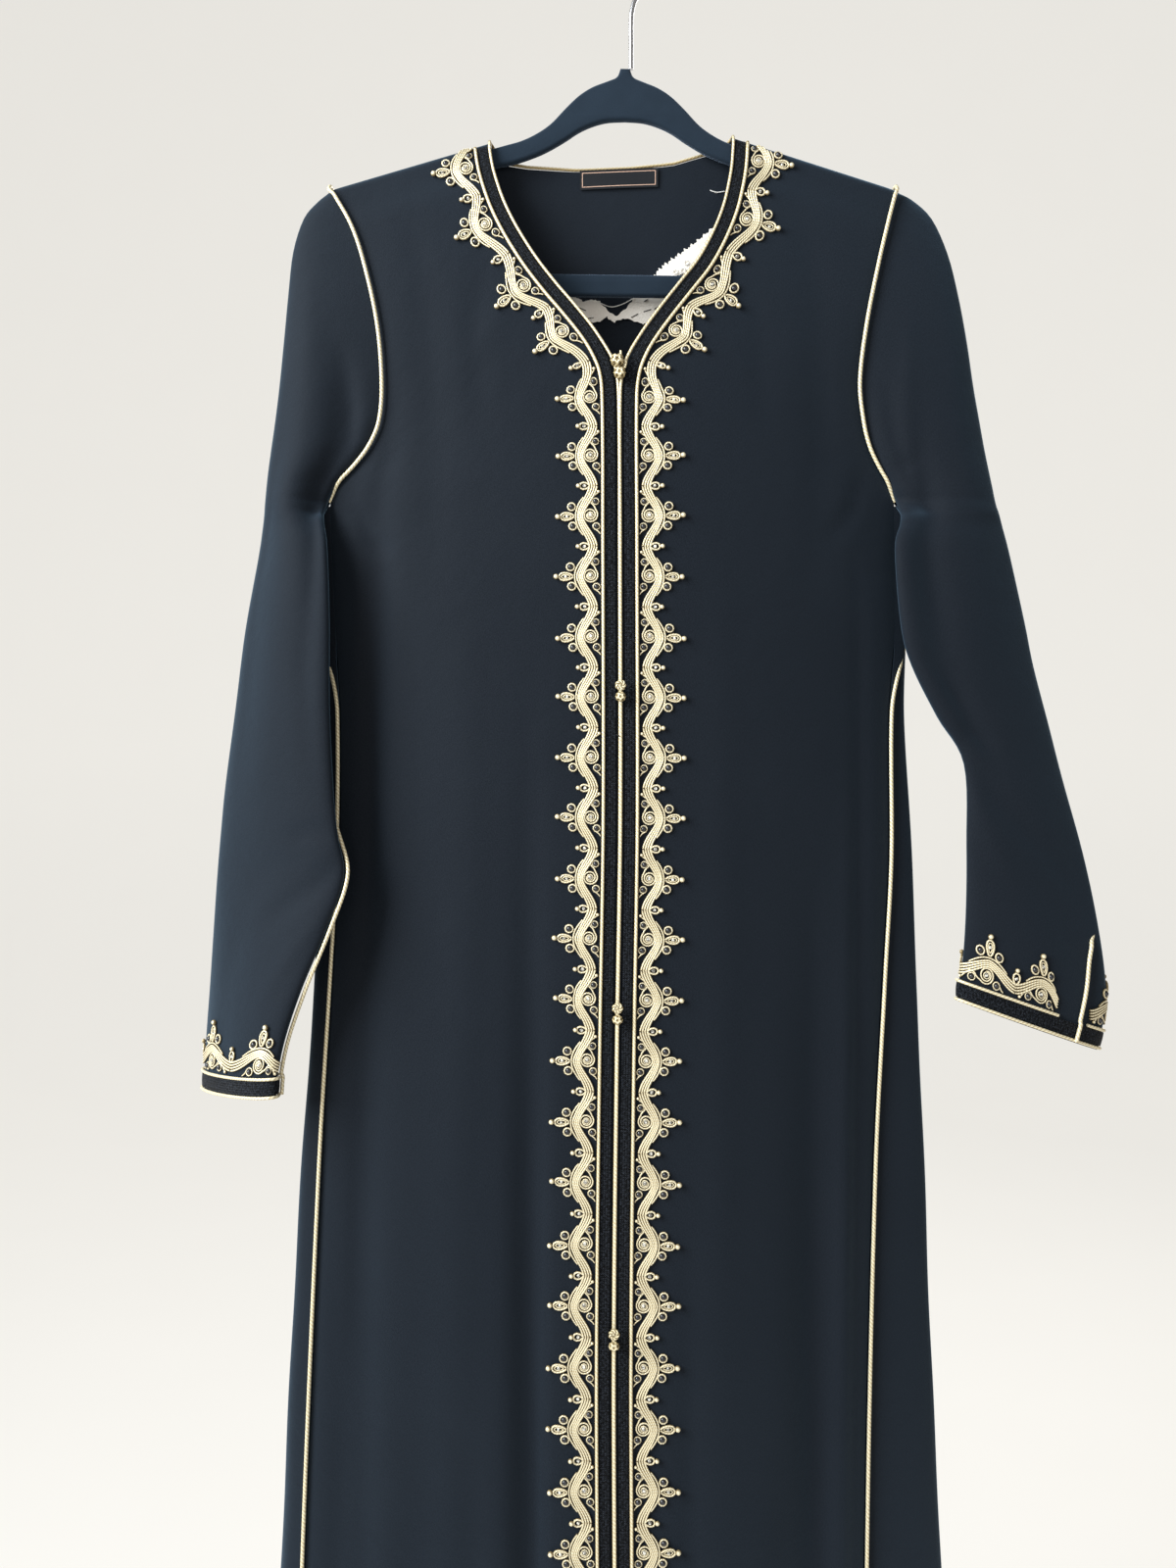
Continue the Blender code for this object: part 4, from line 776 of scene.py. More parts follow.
SLEEVE_RIGHT = (
    (-379, 179.6, -7, -380, 246.2, -4.5, 14, 14), (-388, 177.4, -15, -389, 248.5, -5, 11, 14),
    (-406, 172.4, -21, -407, 253, -5.5, 10.5, 14), (-455, 175.3, -24, -452, 262.7, -6, 11.5, 13),
    (-482, 182.2, -24, -482, 268.5, -6.5, 12, 12), (-516, 199.7, -22, -520, 278.2, -7, 11, 12),
    (-547, 218, -20, -556, 287.4, -7, 10, 12), (-600, 220, -19, -606, 300.8, -8, 11, 12),
    (-640, 220, -18, -650, 309.8, -9, 12, 12), (-672, 218.5, -17, -690, 315.4, -9, 12, 11),
    (-690, 216, -16, -716, 314.8, -8, 12, 11), (-703, 215.3, -16, -737, 310.2, -8, 12, 11),
)
# Hollows down the front: first, deepest and last height, place round the sleeve, depth, width.
SLEEVE_HOLLOWS = {
    -1: ((-250, -330, -520, 0.13, 4.5, 0.055),),
    1: ((-280, -420, -600, 0.17, 6, 0.05), (-560, -640, -735, 0.36, 3, 0.07)),
}
# Underarm seams below the armhole: height and place round the sleeve. Each sleeve hangs twisted,
# the right one until its seam comes round the outer edge to the front.
SEAM = {
    -1: ((-384, 0.9), (-400, 0.87), (-455, 0.87), (-560, 0.88), (-600, 0.965), (-625, 1.005),
         (-685, 1), (-722, 0.965), (-770, 0.955)),
    1: ((-384, 0.9), (-400, 0.88), (-455, 0.86), (-516, 0.74), (-570, 0.66), (-605, 0.6),
        (-628, 0.57), (-641, 0.5), (-650, 0.415), (-658, 0.385), (-672, 0.365), (-690, 0.35),
        (-703, 0.345)),
}
GIRTH = 200  # rough girth, which turns a place round the sleeve into millimetres

# %% Small creases of the sleeves
# Place round the sleeve (0 inner front, 0.5 outer edge, 1 inner back) and height.
SLEEVE_CREASES = {
    -1: (
        (-1.6, 5, 0.03, -368, 0.09, -378, 0.17, -384), (-1.3, 6, 0.05, -352, 0.1, -322, 0.12, -270),
        (1.4, 11, 0.24, -230, 0.27, -330, 0.26, -460, 0.29, -600),
        (-1.2, 8, 0.36, -300, 0.38, -420, 0.36, -560),
        (-2.2, 6, 0.04, -610, 0.1, -618, 0.18, -634, 0.27, -660),
        (-1.5, 6, 0.05, -596, 0.13, -590, 0.22, -596), (1.2, 6, 0.06, -640, 0.14, -664, 0.2, -700),
        (-1, 8, 0.3, -620, 0.33, -690, 0.31, -745), (-1.3, 7, 0.14, -400, 0.16, -480, 0.13, -570),
        (-1.8, 10, 0.7, -300, 0.74, -440, 0.7, -600), (1.5, 9, 0.84, -380, 0.8, -520, 0.84, -680),
    ),
    1: (
        (-2, 5, 0.03, -366, 0.1, -374, 0.2, -378), (-1.3, 4, 0.05, -346, 0.11, -350, 0.18, -344),
        (-1.4, 4.5, 0.08, -290, 0.1, -330, 0.13, -362), (1.3, 5, 0.13, -250, 0.15, -330, 0.14, -400),
        (1.4, 11, 0.3, -240, 0.32, -350, 0.3, -480),
        (-2.4, 6.5, 0.03, -548, 0.12, -558, 0.22, -582, 0.34, -622),
        (-1.8, 6, 0.04, -536, 0.13, -528, 0.22, -530), (1.6, 7, 0.05, -566, 0.12, -588, 0.2, -620),
        (-1.6, 6, 0.1, -470, 0.16, -500, 0.18, -540), (-1.2, 7, 0.22, -610, 0.3, -650, 0.36, -690),
        (-1.8, 10, 0.7, -300, 0.73, -440, 0.7, -560), (1.5, 9, 0.85, -400, 0.8, -540, 0.82, -680),
    ),
}
print("sleeve rows:", len(HEAD_LEFT) + len(SLEEVE_LEFT), "and", len(HEAD_RIGHT) + len(SLEEVE_RIGHT))

# %% Where the cloth of a sleeve stands
FLUSH_ROWS = 6
HEAD_ROWS = len(HEAD_LEFT)


def station_table(side):
    """Front seam point, back seam point, outer point, two fullnesses and flush of each row."""
    head, lower = (HEAD_LEFT, SLEEVE_LEFT) if side < 0 else (HEAD_RIGHT, SLEEVE_RIGHT)
    rows = []
    for number, (height, outer_x, outer_height, outer_y, forward, backward) in enumerate(head):
        seam_x = along(ARMHOLE, height, COLUMN[side])
        at = float(seam_x + side * SEAM_INSET)
        front, back = float(front_y(seam_x, height)), float(back_y(seam_x, height))
        flush = min(1, (len(head) - 1 - number) / FLUSH_ROWS)
        rows.append((at, front, height, at, back, height, outer_x, outer_y, outer_height,
                     forward, backward, flush))
    for height, inner_x, inner_y, outer_height, outer_x, outer_y, forward, backward in lower:
        rows.append((inner_x, inner_y, height, inner_x, inner_y, height, outer_x, outer_y,
                     outer_height, forward, backward, 0))
    return np.array(rows)


STATIONS = {side: station_table(side) for side, name in SIDES}
LAST_ROW = {side: len(STATIONS[side]) - 1 for side, name in SIDES}


def station(side, row):
    """The row's numbers between two rows of the table, on a smooth curve."""
    table = STATIONS[side]
    guide = np.concatenate([[2 * table[0] - table[1]], table, [2 * table[-1] - table[-2]]])
    row = np.clip(row, 0, len(table) - 1)
    index = np.minimum(row.astype(int), len(table) - 2)
    share = (row - index)[..., None]
    smooth = catmull_rom(guide, index, share)
    straight = table[index] + (table[index + 1] - table[index]) * share
    open_row = (row < HEAD_ROWS)[..., None]
    values = np.where(open_row, straight, smooth)
    values[..., 6:] = smooth[..., 6:]
    middle = (values[..., 0:3] + values[..., 3:6]) / 2
    for seam in (slice(0, 3), slice(3, 6)):
        values[..., seam] = np.where(open_row, values[..., seam], middle)
    return values


def sleeve_point(side, row, turn):
    """A point of the sleeve: row runs down it, turn round it."""
    row, turn = paired(row, turn)
    values = station(side, row)
    turn = np.where(turn > 1, turn - 1, np.where(turn < 0, turn + 1, turn))
    in_front = turn <= 0.5
    half = np.where(in_front, turn, 1 - turn) * 2
    start = np.where(in_front[..., None], values[..., 0:3], values[..., 3:6])
    fullness = np.where(in_front, -values[..., 9], values[..., 10])
    flush = np.clip(values[..., 11], 0, 1)
    share = (1 - flush) * (1 - np.cos(np.pi * half)) / 2 + flush * np.sin(np.pi * half / 2)
    point = start + (values[..., 6:9] - start) * share[..., None]
    point[..., 1] += fullness * np.sin(np.pi * half)
    height = point[..., 2]
    for first, deepest, last, place, depth, width in SLEEVE_HOLLOWS[side]:
        end = np.where(height > deepest, first, last)
        reach = soft_step((end - height) / (end - deepest))
        reach = np.where((height < first) & (height > last), reach, 0)
        point[..., 1] += depth * reach * np.exp(-((turn - place) / width) ** 2)
    small = crease_sum(SLEEVE_CREASES[side], turn, height, GIRTH) * np.sin(np.pi * half) ** 0.5
    point[..., 1] += np.where(in_front, -small, small)
    return point


def sleeve_facing(side, row, turn):
    step_row, step_turn = 0.05, 0.006
    below = sleeve_point(side, np.minimum(row + step_row, LAST_ROW[side]), turn)
    down = below - sleeve_point(side, np.maximum(row - step_row, 0), turn)
    across = sleeve_point(side, row, turn + step_turn) - sleeve_point(side, row, turn - step_turn)
    normal = np.cross(down, across) * side
    return normal / np.linalg.norm(normal, axis=-1, keepdims=True)


def sleeve_lifted(side, row, turn, lift):
    row, turn = paired(row, turn)
    lift = np.broadcast_to(np.asarray(lift, float), row.shape)
    return sleeve_point(side, row, turn) + sleeve_facing(side, row, turn) * lift[..., None]


print("left cuff's inner edge:", sleeve_point(-1, LAST_ROW[-1], 0).round(1))

# %% The sleeves
SLEEVE_COLUMNS = 61


def sleeve_grid(side):
    head = np.linspace(0, HEAD_ROWS, HEAD_ROWS * 4 + 1)
    lower = np.linspace(HEAD_ROWS, LAST_ROW[side], int((LAST_ROW[side] - HEAD_ROWS) * 6) + 1)[1:]
    rows = np.concatenate([head, lower])
    turns = np.linspace(0, 1, SLEEVE_COLUMNS)
    points = sleeve_point(side, rows[:, None], turns[None, :])
    points[0] = points[0].mean(axis=0)
    return points[:, ::-1] if side < 0 else points


for side, name in SIDES:
    sew_panel("crepe_sleeve_" + name, "sleeve_" + name, sleeve_grid(side), SLEEVE_FLAT,
              tube=True)

# %% [markdown]
# ## Cord
# The cords are two metallic threads twisted together and sewn down (couched), and the pipings are
# the same cord caught in the seam. One Geometry Nodes tree makes them all: it turns a line of
# points into a curve, resamples it, sweeps a ring along it, and leaves two things on the mesh for
# the material: how far along the cord each point is, and where round it, so that the twist can
# be drawn as a relief that winds on without a seam, with painted shade in its grooves. Last it
# keeps how far each point faces out from the cloth, so that the gold finishes can paint shade on
# the cords' sides.

# %% Gold finishes
def gold_finish(name, light, dark, pitch=1.9, depth=0.12, side=None):
    """Two plies of metallic thread; the grooves between them and the cord's sides get painted shade."""
    made = Finish(name, light, 0.42, metallic=0.3, specular=0.6)
    along_cord = made.attribute("along")
    turn = made.attribute("ply_y").math("ARCTAN2", made.attribute("ply_x"))
    wave = (turn * 2 + along_cord * (2 * math.pi / (pitch * MM))).math("SINE")
    ridge = (wave * 0.5 + 0.5) ** 0.6
    thread = made.noise(made.place(), 2600, detail=1)
    wear = made.noise(made.place(), 60, detail=2)
    lit = made.blend(wear.smooth(0.35, 0.7), light, tuple(c * 0.93 for c in light))
    # Painted shade: the colour goes dark in the grooves between the plies.
    colour = made.blend(ridge * 0.8 + thread * 0.2, dark, lit)
    # Painted shade: where the cord turns away from the open, between cords and under them, it takes the side
    # colour.
    if side:
        colour = made.blend(made.attribute("crown").smooth(0.4, 0.97), side, colour)
    made.paint(colour, 0.5 - ridge * 0.14 + thread * 0.08,
               made.relief(ridge + thread * 0.3, depth * MM, 0.9))
    return made


# The dark colours are painted shade in the grooves of the twist, the side colours painted shade on the
# cords' flanks.
gold_cord = gold_finish("gold_cord", (0.88, 0.8, 0.58), (0.5, 0.39, 0.2), 2.6, 0.16)
gold_edge = gold_finish("gold_edge_cord", (0.93, 0.85, 0.62), (0.6, 0.48, 0.27), 2.6, 0.14,
                        side=(0.3, 0.22, 0.1))
gold_work = gold_finish("gold_cordwork", (0.98, 0.92, 0.7), (0.62, 0.49, 0.26), side=(0.26, 0.19, 0.09))
gold_knot = gold_finish("gold_knot", (0.98, 0.92, 0.7), (0.66, 0.53, 0.3), side=(0.42, 0.33, 0.17))
print("gold finishes made")

# %% The cord recipe
class Recipe:
    """A Geometry Nodes tree with named inputs, and the way to run it on a piece."""

    KINDS = {float: "NodeSocketFloat", int: "NodeSocketInt", "object": "NodeSocketObject",
             "material": "NodeSocketMaterial"}

    def __init__(self, name, **inputs):
        self.tree = bpy.data.node_groups.new(name, "GeometryNodeTree")
        face = self.tree.interface
        face.new_socket("Geometry", in_out="INPUT", socket_type="NodeSocketGeometry")
        for label, value in inputs.items():
            kind = value if isinstance(value, str) else type(value)
            socket = face.new_socket(label, in_out="INPUT", socket_type=self.KINDS[kind])
            if not isinstance(value, str):
                socket.default_value = value
        face.new_socket("Geometry", in_out="OUTPUT", socket_type="NodeSocketGeometry")
        entry = self.tree.nodes.new("NodeGroupInput")
        self.start = Wire(self.tree)
        self.given = {socket.name: Wire(self.tree, socket) for socket in entry.outputs if socket.name}

    def make(self, kind, inputs=None, output=0, **settings):
        return self.start.make(kind, inputs, output, **settings)

    def read(self, name, kind="FLOAT"):
        return self.make("GeometryNodeInputNamedAttribute", {"Name": name}, "Attribute", data_type=kind)

    def facing(self):
        return self.read("facing", "FLOAT_VECTOR")

    def store(self, geometry, name, value, kind="FLOAT"):
        return self.make("GeometryNodeStoreNamedAttribute",
                         {"Geometry": geometry, "Name": name, "Value": value},
                         data_type=kind, domain="POINT")

    def cord(self, lines, radius):
        """Lines made round cords, with the way along and round them kept for the material."""
        curve = self.make("GeometryNodeMeshToCurve", {"Mesh": lines})
        curve = self.make("GeometryNodeCurveSplineType", {"Curve": curve}, spline_type="CATMULL_ROM")
        curve = self.make("GeometryNodeResampleCurve", {"Curve": curve, "Length": self.given["Step"]},
                          mode="LENGTH")
        curve = self.make("GeometryNodeSetCurveNormal", {"Curve": curve}, mode="MINIMUM_TWIST")
        curve = self.store(curve, "along", self.make("GeometryNodeSplineParameter", output="Length"))
        curve = self.make("GeometryNodeSetCurveRadius", {"Curve": curve, "Radius": radius})
        ring = self.make("GeometryNodeCurvePrimitiveCircle",
                         {"Resolution": self.given["Sides"], "Radius": 1})
        x, y, z = self.make("GeometryNodeInputPosition").split()
        ring = self.store(self.store(ring, "ply_x", x), "ply_y", y)
        return self.make("GeometryNodeCurveToMesh", {"Curve": curve, "Profile Curve": ring,
                                                     "Fill Caps": True, "Scale": radius})

    def close(self, geometry):
        """Ends the tree with real geometry and its finish."""
        real = self.make("GeometryNodeRealizeInstances", {"Geometry": geometry})
        # crown: how far each point faces out from the cloth; the gold finishes paint shade where it is low
        up = self.make("ShaderNodeVectorMath", {0: self.make("GeometryNodeInputNormal"), 1: self.facing()},
                       "Value", operation="DOT_PRODUCT")
        dressed = self.make("GeometryNodeSetMaterial", {"Geometry": self.store(real, "crown", up),
                                                        "Material": self.given["Finish"]})
        output = self.tree.nodes.new("NodeGroupOutput")
        self.tree.links.new(dressed.socket, output.inputs["Geometry"])

    def run(self, made, finish, **values):
        """Gives the piece this recipe with its sizes, then keeps the result as a plain mesh."""
        modifier = made.modifiers.new(self.tree.name, "NODES")
        modifier.node_group = self.tree
        key = {item.name: item.identifier for item in self.tree.interface.items_tree
               if item.item_type == "SOCKET" and item.in_out == "INPUT"}
        modifier[key["Finish"]] = finish.material
        for label, value in values.items():
            modifier[key[label]] = value
        settle_mesh(made)
        made.data.shade_smooth()


cord_recipe = Recipe("couched_cord", Radius=0.001, Step=0.0015, Sides=8, Finish="material")
cord_recipe.close(cord_recipe.cord(cord_recipe.given["Geometry"], cord_recipe.given["Radius"]))


def chain(first, count, closed):
    """Edges that join points one after another."""
    edges = [(first + index, first + index + 1) for index in range(count - 1)]
    return edges + ([(first + count - 1, first)] if closed else [])


def line_object(name, lines, closed=None, facings=None):
    """Points in millimetres joined into lines, each open or closed, with the way the cloth faces."""
    points, edges = [], []
    for each, ring in zip(lines, closed or [False] * len(lines)):
        edges += chain(len(points), len(each), ring)
        points += [[float(v) * MM for v in point] for point in each]
    ways = {} if facings is None else {"facing": np.broadcast_to(facings, (len(points), 3))}
    return new_piece(name, points, edges, kept=ways)


def lay_cord(name, lines, radius, finish, slot, replaced, closed=False, step=1.6, sides=8, facings=None):
    made = line_object(name, lines, [closed] * len(lines), facings)
    cord_recipe.run(made, finish, Radius=radius * MM, Step=step * MM, Sides=sides)
    dress(made, slot, *replaced)
    return made


print("cord recipe has", len(cord_recipe.tree.nodes), "nodes")

# %% [markdown]
# ## Walking down the front edge
# Everything on the fronts is placed by two numbers: how far down the front edge, and how far out
# from it. The edge is measured once, a few millimetres at a time, and a place beside it is found
# square to it.

# %% Places beside the front edge
CORD_OFFSET, CORD_RADIUS, CORD_LIFT = 1.25, 1.05, 1.5
BRAID_START, BRAID_END, BRAID_THICK, CLEAR = 2.7, 9.2, 1.1, 0.3
OUTER_CORD_OFFSET, OUTER_CORD_RADIUS, OUTER_CORD_GAP = 10.9, 1.2, 0.45
EDGE_LOOK = 14
CLOSE_START, CLOSE_REACH, CLOSE_BY = 155, 25, 1.15
FORWARD, ARCHED = (0, -1, 0), (0, -0.6, 0.8)


def edge_path(side):
    heights = np.append(np.arange(NECK[side][0][0], HEM, -3), HEM)
    points = np.stack([along(NECK[side], heights, 1), heights], axis=-1)
    return reached_along(points), points


EDGES = {side: edge_path(side) for side, name in SIDES}
EDGE_LENGTH = {side: EDGES[side][0][-1] for side, name in SIDES}


def places_down(side, first):
    """Distances down a front edge, every 4 mm until just above the hem."""
    last = EDGE_LENGTH[side] - 0.5
    return np.append(np.arange(first, last, 4), last)


def beside(path, distance, offset, look, hand):
    """X and height of places square to a path, whose direction is judged over this look."""
    reached, points = path

    def at(value):
        value = np.clip(value, 0, reached[-1])
        return np.stack([np.interp(value, reached, points[:, part]) for part in (0, 1)], axis=-1)

    distance, offset = paired(distance, offset)
    heading = at(distance + look) - at(distance - look)
    heading /= np.linalg.norm(heading, axis=-1, keepdims=True)
    out = np.stack([-heading[..., 1], heading[..., 0]], axis=-1) * hand
    place = at(distance) + out * offset[..., None]
    return place[..., 0], place[..., 1]


def edge_place(side, distance, offset):
    """X and height of a place beside the front edge."""
    x, height = beside(EDGES[side], distance, offset, EDGE_LOOK, side)
    return x, np.maximum(np.minimum(height, shoulder_height(x) - 0.35), HEM + 1)


def on_front(side, distance, offset, lift):
    x, height = edge_place(side, distance, offset)
    return lifted(front_y, x, height, lift)


print("front edges measure", {name: round(float(EDGE_LENGTH[side]), 1) for side, name in SIDES}, "mm")

# %% [markdown]
# ## Cords of the front opening
# A fine cord edges each front, and the two lie side by side down the middle. It is one cord: it
# climbs the left edge, goes round the back of the neck and comes down the right one. A thicker
# cord runs outside the braid.

# %% Edge cord and outer cords
def arch_places(x, angles):
    reach = ARCH_RADIUS + CORD_LIFT * np.clip(np.asarray(angles) / 60, 0.25, 1)
    turn = np.radians(angles)
    height = shoulder_height(x) - ARCH_RADIUS + reach * np.cos(turn)
    return np.stack([np.full(len(turn), x), -reach * np.sin(turn), height], axis=-1)


def neck_places():
    """Along the cut edge of the back, between the neck's corners."""
    heading = np.gradient(NECK_EDGE, axis=0)[1:-1]
    heading /= np.linalg.norm(heading[:, [0, 2]], axis=-1, keepdims=True)
    square = np.stack([-heading[:, 2], np.zeros(len(heading)), heading[:, 0]], axis=-1)
    return through(NECK_EDGE[1:-1] + square * CORD_LIFT + (0, -CLOTH / 2, 0), 90)


def edge_offset(distance):
    """Below the neck the two cords close up over the slit."""
    return CORD_OFFSET - CLOSE_BY * soft_step((distance - CLOSE_START) / CLOSE_REACH)


def edge_cord_line():
    sides = {}
    for side, name in SIDES:
        places = places_down(side, 5)
        sides[side] = on_front(side, places, edge_offset(places), CORD_LIFT)
    climb, fall = sides[-1][::-1], sides[1]
    up = arch_places(climb[-1, 0], (60, 35, 12))
    down = arch_places(fall[0, 0], (12, 35, 60))
    neck = neck_places()
    facings = [FORWARD] * (len(climb) + 2) + [ARCHED] * (len(neck) + 2) + [FORWARD] * (len(fall) + 2)
    return np.concatenate([climb, up, neck, down, fall]), facings


line, facings = edge_cord_line()
edge_cord = lay_cord("gold_edge_cord", [line], CORD_RADIUS, gold_edge, "gold_cord", ["edge_cord"],
                     step=1.4, facings=facings)
for side, name in SIDES:
    distances = places_down(side, 3)
    sunk = np.clip((distances + 1) / 12, 0.25, 1)[:, None]
    path = on_front(side, distances, OUTER_CORD_OFFSET, (OUTER_CORD_GAP + OUTER_CORD_RADIUS) * sunk)
    lay_cord("gold_outer_cord_" + name, [path], OUTER_CORD_RADIUS, gold_edge, "gold_cord",
             ["outer_cord_" + name], step=1.8, facings=FORWARD)
print("edge cord:", len(edge_cord.data.polygons), "faces")

# %% [markdown]
# ## Braid
# Between the cords lies a flat black braid with a herringbone weave. It is a crowned strip, and
# the weave is a relief drawn on its flat length: four narrow columns whose threads lean left and
# right by turns. The weave is painted into its colour as well: a painted highlight on the crown
# of each thread, painted shade in the grooves, and a noise of painted glints over it.

# %% Black braid
braid = Finish("black_braid", (0.012, 0.013, 0.017), 0.5, sheen=0.02, specular=0.07)
across, length, none = braid.place("UV").split()
column = across * 620
lean = (column % 1 - 0.5).math("ABSOLUTE")
strand = ((length * 760 + lean * 1.7) % 1 - 0.5).math("ABSOLUTE") * 2
crown = 1 - strand ** 1.6
groove = lean.smooth(0.36, 0.5)
weave = crown * (1 - groove * 0.7)
glint = braid.grain(braid.place("UV"), 600, 900)
# Painted light: each thread's crown is painted lit and its grooves shaded, and glint adds painted glints.
braid.paint(braid.blend(weave * glint.smooth(0.35, 0.75), (0.001, 0.0013, 0.002),
                        (0.032, 0.038, 0.05)),
            0.62 - weave * 0.2, braid.relief(weave, 0.00032, 0.9))


def braid_grid(side):
    share = np.linspace(0, 1, 9)
    offsets = BRAID_START + (BRAID_END - BRAID_START) * share
    crown = CLEAR + BRAID_THICK + 0.25 * np.sin(np.pi * share) - 0.15
    points = on_front(side, places_down(side, 4)[:, None], offsets[None, :], crown[None, :, None])
    return points if side > 0 else points[:, ::-1]


for side, name in SIDES:
    strip = wall(grid_mesh("black_braid_" + name, braid_grid(side)), BRAID_THICK, braid)
    dress(strip, "black_braid", "braid_" + name)
    print(strip.name, len(strip.data.polygons), "faces")

# %% [markdown]
# ## Pipings
# Thin piping covers the seams: round each armhole, down each side and down each sleeve.

# %% Pipings
PIPING_RADIUS, PIPING_LIFT, PIPING_TOP, ARMHOLE_EXTRA = 1.3, 1.95, -452, 0.4
PIPING_HIDDEN, PIPING_OUT = 8, (-512, 60)  # it comes out from under the cloth over this height
CUFF_BAND_START = 15.1


def armhole_line(side):
    column = COLUMN[side]
    tip_x, tip_height = float(ARMHOLE[0][column]), ARMHOLE[0][0]
    heights = np.linspace(tip_height - ARCH_RADIUS, UNDERARM + 1, 46)
    full = PIPING_LIFT + ARMHOLE_EXTRA
    lift = full * (1 - 1.6 * soft_step((UNDERARM + 15 - heights) / 14))
    x = along(ARMHOLE, heights, column)
    front = np.stack([x, front_y(x, heights) - lift, heights], axis=-1)
    back = np.stack([x, back_y(x, heights) + lift, heights], axis=-1)
    turn = np.radians(np.linspace(-70, 70, 7))
    reach = ARCH_RADIUS + full
    over = np.stack([np.full(7, tip_x), reach * np.sin(turn),
                     tip_height - ARCH_RADIUS + reach * np.cos(turn)], axis=-1)
    return np.concatenate([front[::-1], over, back])


def side_line(side):
    heights = np.append(np.arange(PIPING_TOP, HEM + 3, -8), HEM + 1)
    x = along(SIDE, heights, COLUMN[side])
    behind = PIPING_HIDDEN * soft_step((heights - PIPING_OUT[0]) / PIPING_OUT[1])
    return np.stack([x + side * (PIPING_LIFT * 0.6 + behind),
                     front_y(x, heights) - PIPING_LIFT * 0.8 + behind, heights], axis=-1)


def row_above_hem(side, rise, turn):
    """The row of the sleeve's table at this rise above its hem, at this place round it."""
    turn, rise = paired(turn, rise)
    result = np.empty(turn.shape)
    rows = np.linspace(LAST_ROW[side], LAST_ROW[side] - 5, 400)
    for place in np.unique(turn):
        climbed = reached_along(sleeve_point(side, rows, np.full(len(rows), place % 1)))
        here = turn == place
        result[here] = np.interp(rise[here], climbed, rows)
    return result


def seam_turn(side, row):
    height = sleeve_point(side, row, np.zeros_like(row))[..., 2]
    return along(SEAM[side], height, 1)


def cuff_seam(side):
    return float(seam_turn(side, np.array(LAST_ROW[side] - 1.5)))


def underarm_line(side):
    """Down the seam and over the cuff; where the seam turns round the edge it runs inside."""
    last = float(row_above_hem(side, CUFF_BAND_START, cuff_seam(side)))
    rows = np.append(np.arange(HEAD_ROWS + 1, last, 0.12), last)
    over = row_above_hem(side, np.array([12.5, 9, 5, 1]), cuff_seam(side))
    rows = np.concatenate([rows, over])
    turn = seam_turn(side, rows)
    edge = soft_step((turn - 0.385) / 0.035) * soft_step((0.62 - turn) / 0.05)
    lift = (PIPING_RADIUS + 0.9) * (1 - 1.75 * edge)
    lift[-4:] = PIPING_RADIUS + 2.2
    return sleeve_lifted(side, rows, turn, lift)


for side, name in SIDES:
    for part, line in (("armhole", armhole_line), ("side", side_line), ("underarm", underarm_line)):
        lay_cord("gold_%s_piping_%s" % (part, name), [line(side)], PIPING_RADIUS, gold_cord, "gold_cord",
                 ["%s_piping_%s" % (part, name)], step=2)
print("six pipings laid")

# %% [markdown]
# ## The cordwork motif
# One motif repeats all the way down the fronts, round the cuffs and along the back. A band of
# four cords swings out and in like a wave. A spiral round a small crystal fills each bay, a tall
# finial stands on each crest and a short one in each dip. It is drawn flat and by formula here:
# every point has a place along the edge and a distance out from the outer cord. The short finial
# keeps its place from the end of the motif, so that it stays in the dip where motifs are longer.

# %% One motif, drawn flat
HALF_REPEAT = 19.7
BAND_DIP, BAND_CREST = 6.2, 14.9
SPIRAL_MIDDLE, SPIRAL_START, SPIRAL_REACH, SPIRAL_CLOSER = (-0.8, 8.1), 225, 4.95, 1.5


def band_line(step):
    """One cord of the band; step counts cords from the band's middle."""
    place = np.linspace(-HALF_REPEAT - 0.2, HALF_REPEAT + 0.2, 21)
    wave = (0.65 * (0.5 + 0.5 * np.cos(np.pi * place / HALF_REPEAT))
            + 0.35 * (1 - np.abs(place) / HALF_REPEAT))
    slope = (BAND_CREST - BAND_DIP) * np.gradient(wave, place)
    size, apart = np.sqrt(1 + slope ** 2), step * (1.58 - 0.5 * wave)
    out = BAND_DIP + (BAND_CREST - BAND_DIP) * wave
    return np.stack([place - slope / size * apart, out + apart / size], axis=-1)


def ring(place, out, reach, count=10):
    turn = np.linspace(0, 2 * np.pi, count, endpoint=False)
    return np.stack([place + reach * np.sin(turn), out - reach * np.cos(turn)], axis=-1)


def pear(base, tip, width):
    """A drop, narrow at its base."""
    turn = np.linspace(0.16, 2 * np.pi - 0.16, 15)
    rise = (1 - np.cos(turn)) / 2
    return np.stack([width * np.sin(turn) * (0.62 + 0.5 * rise), base + (tip - base) * rise], axis=-1)


def spiral():
    """From the curl by the outer cord, over the bead, round and in to the crystal."""
    lead = [(-15.6, 2.7), (-14.2, 4.6), (-12.4, 7), (-10.3, 8.1), (-8.3, 7.4), (-6.8, 5.7)]
    turned = np.linspace(0, 600, 26)
    bearing = np.radians(SPIRAL_START + turned)
    reach = SPIRAL_REACH - SPIRAL_CLOSER * turned / 360
    coil = np.stack([reach * np.cos(bearing), reach * np.sin(bearing)], axis=-1)
    return np.concatenate([lead, SPIRAL_MIDDLE + coil])


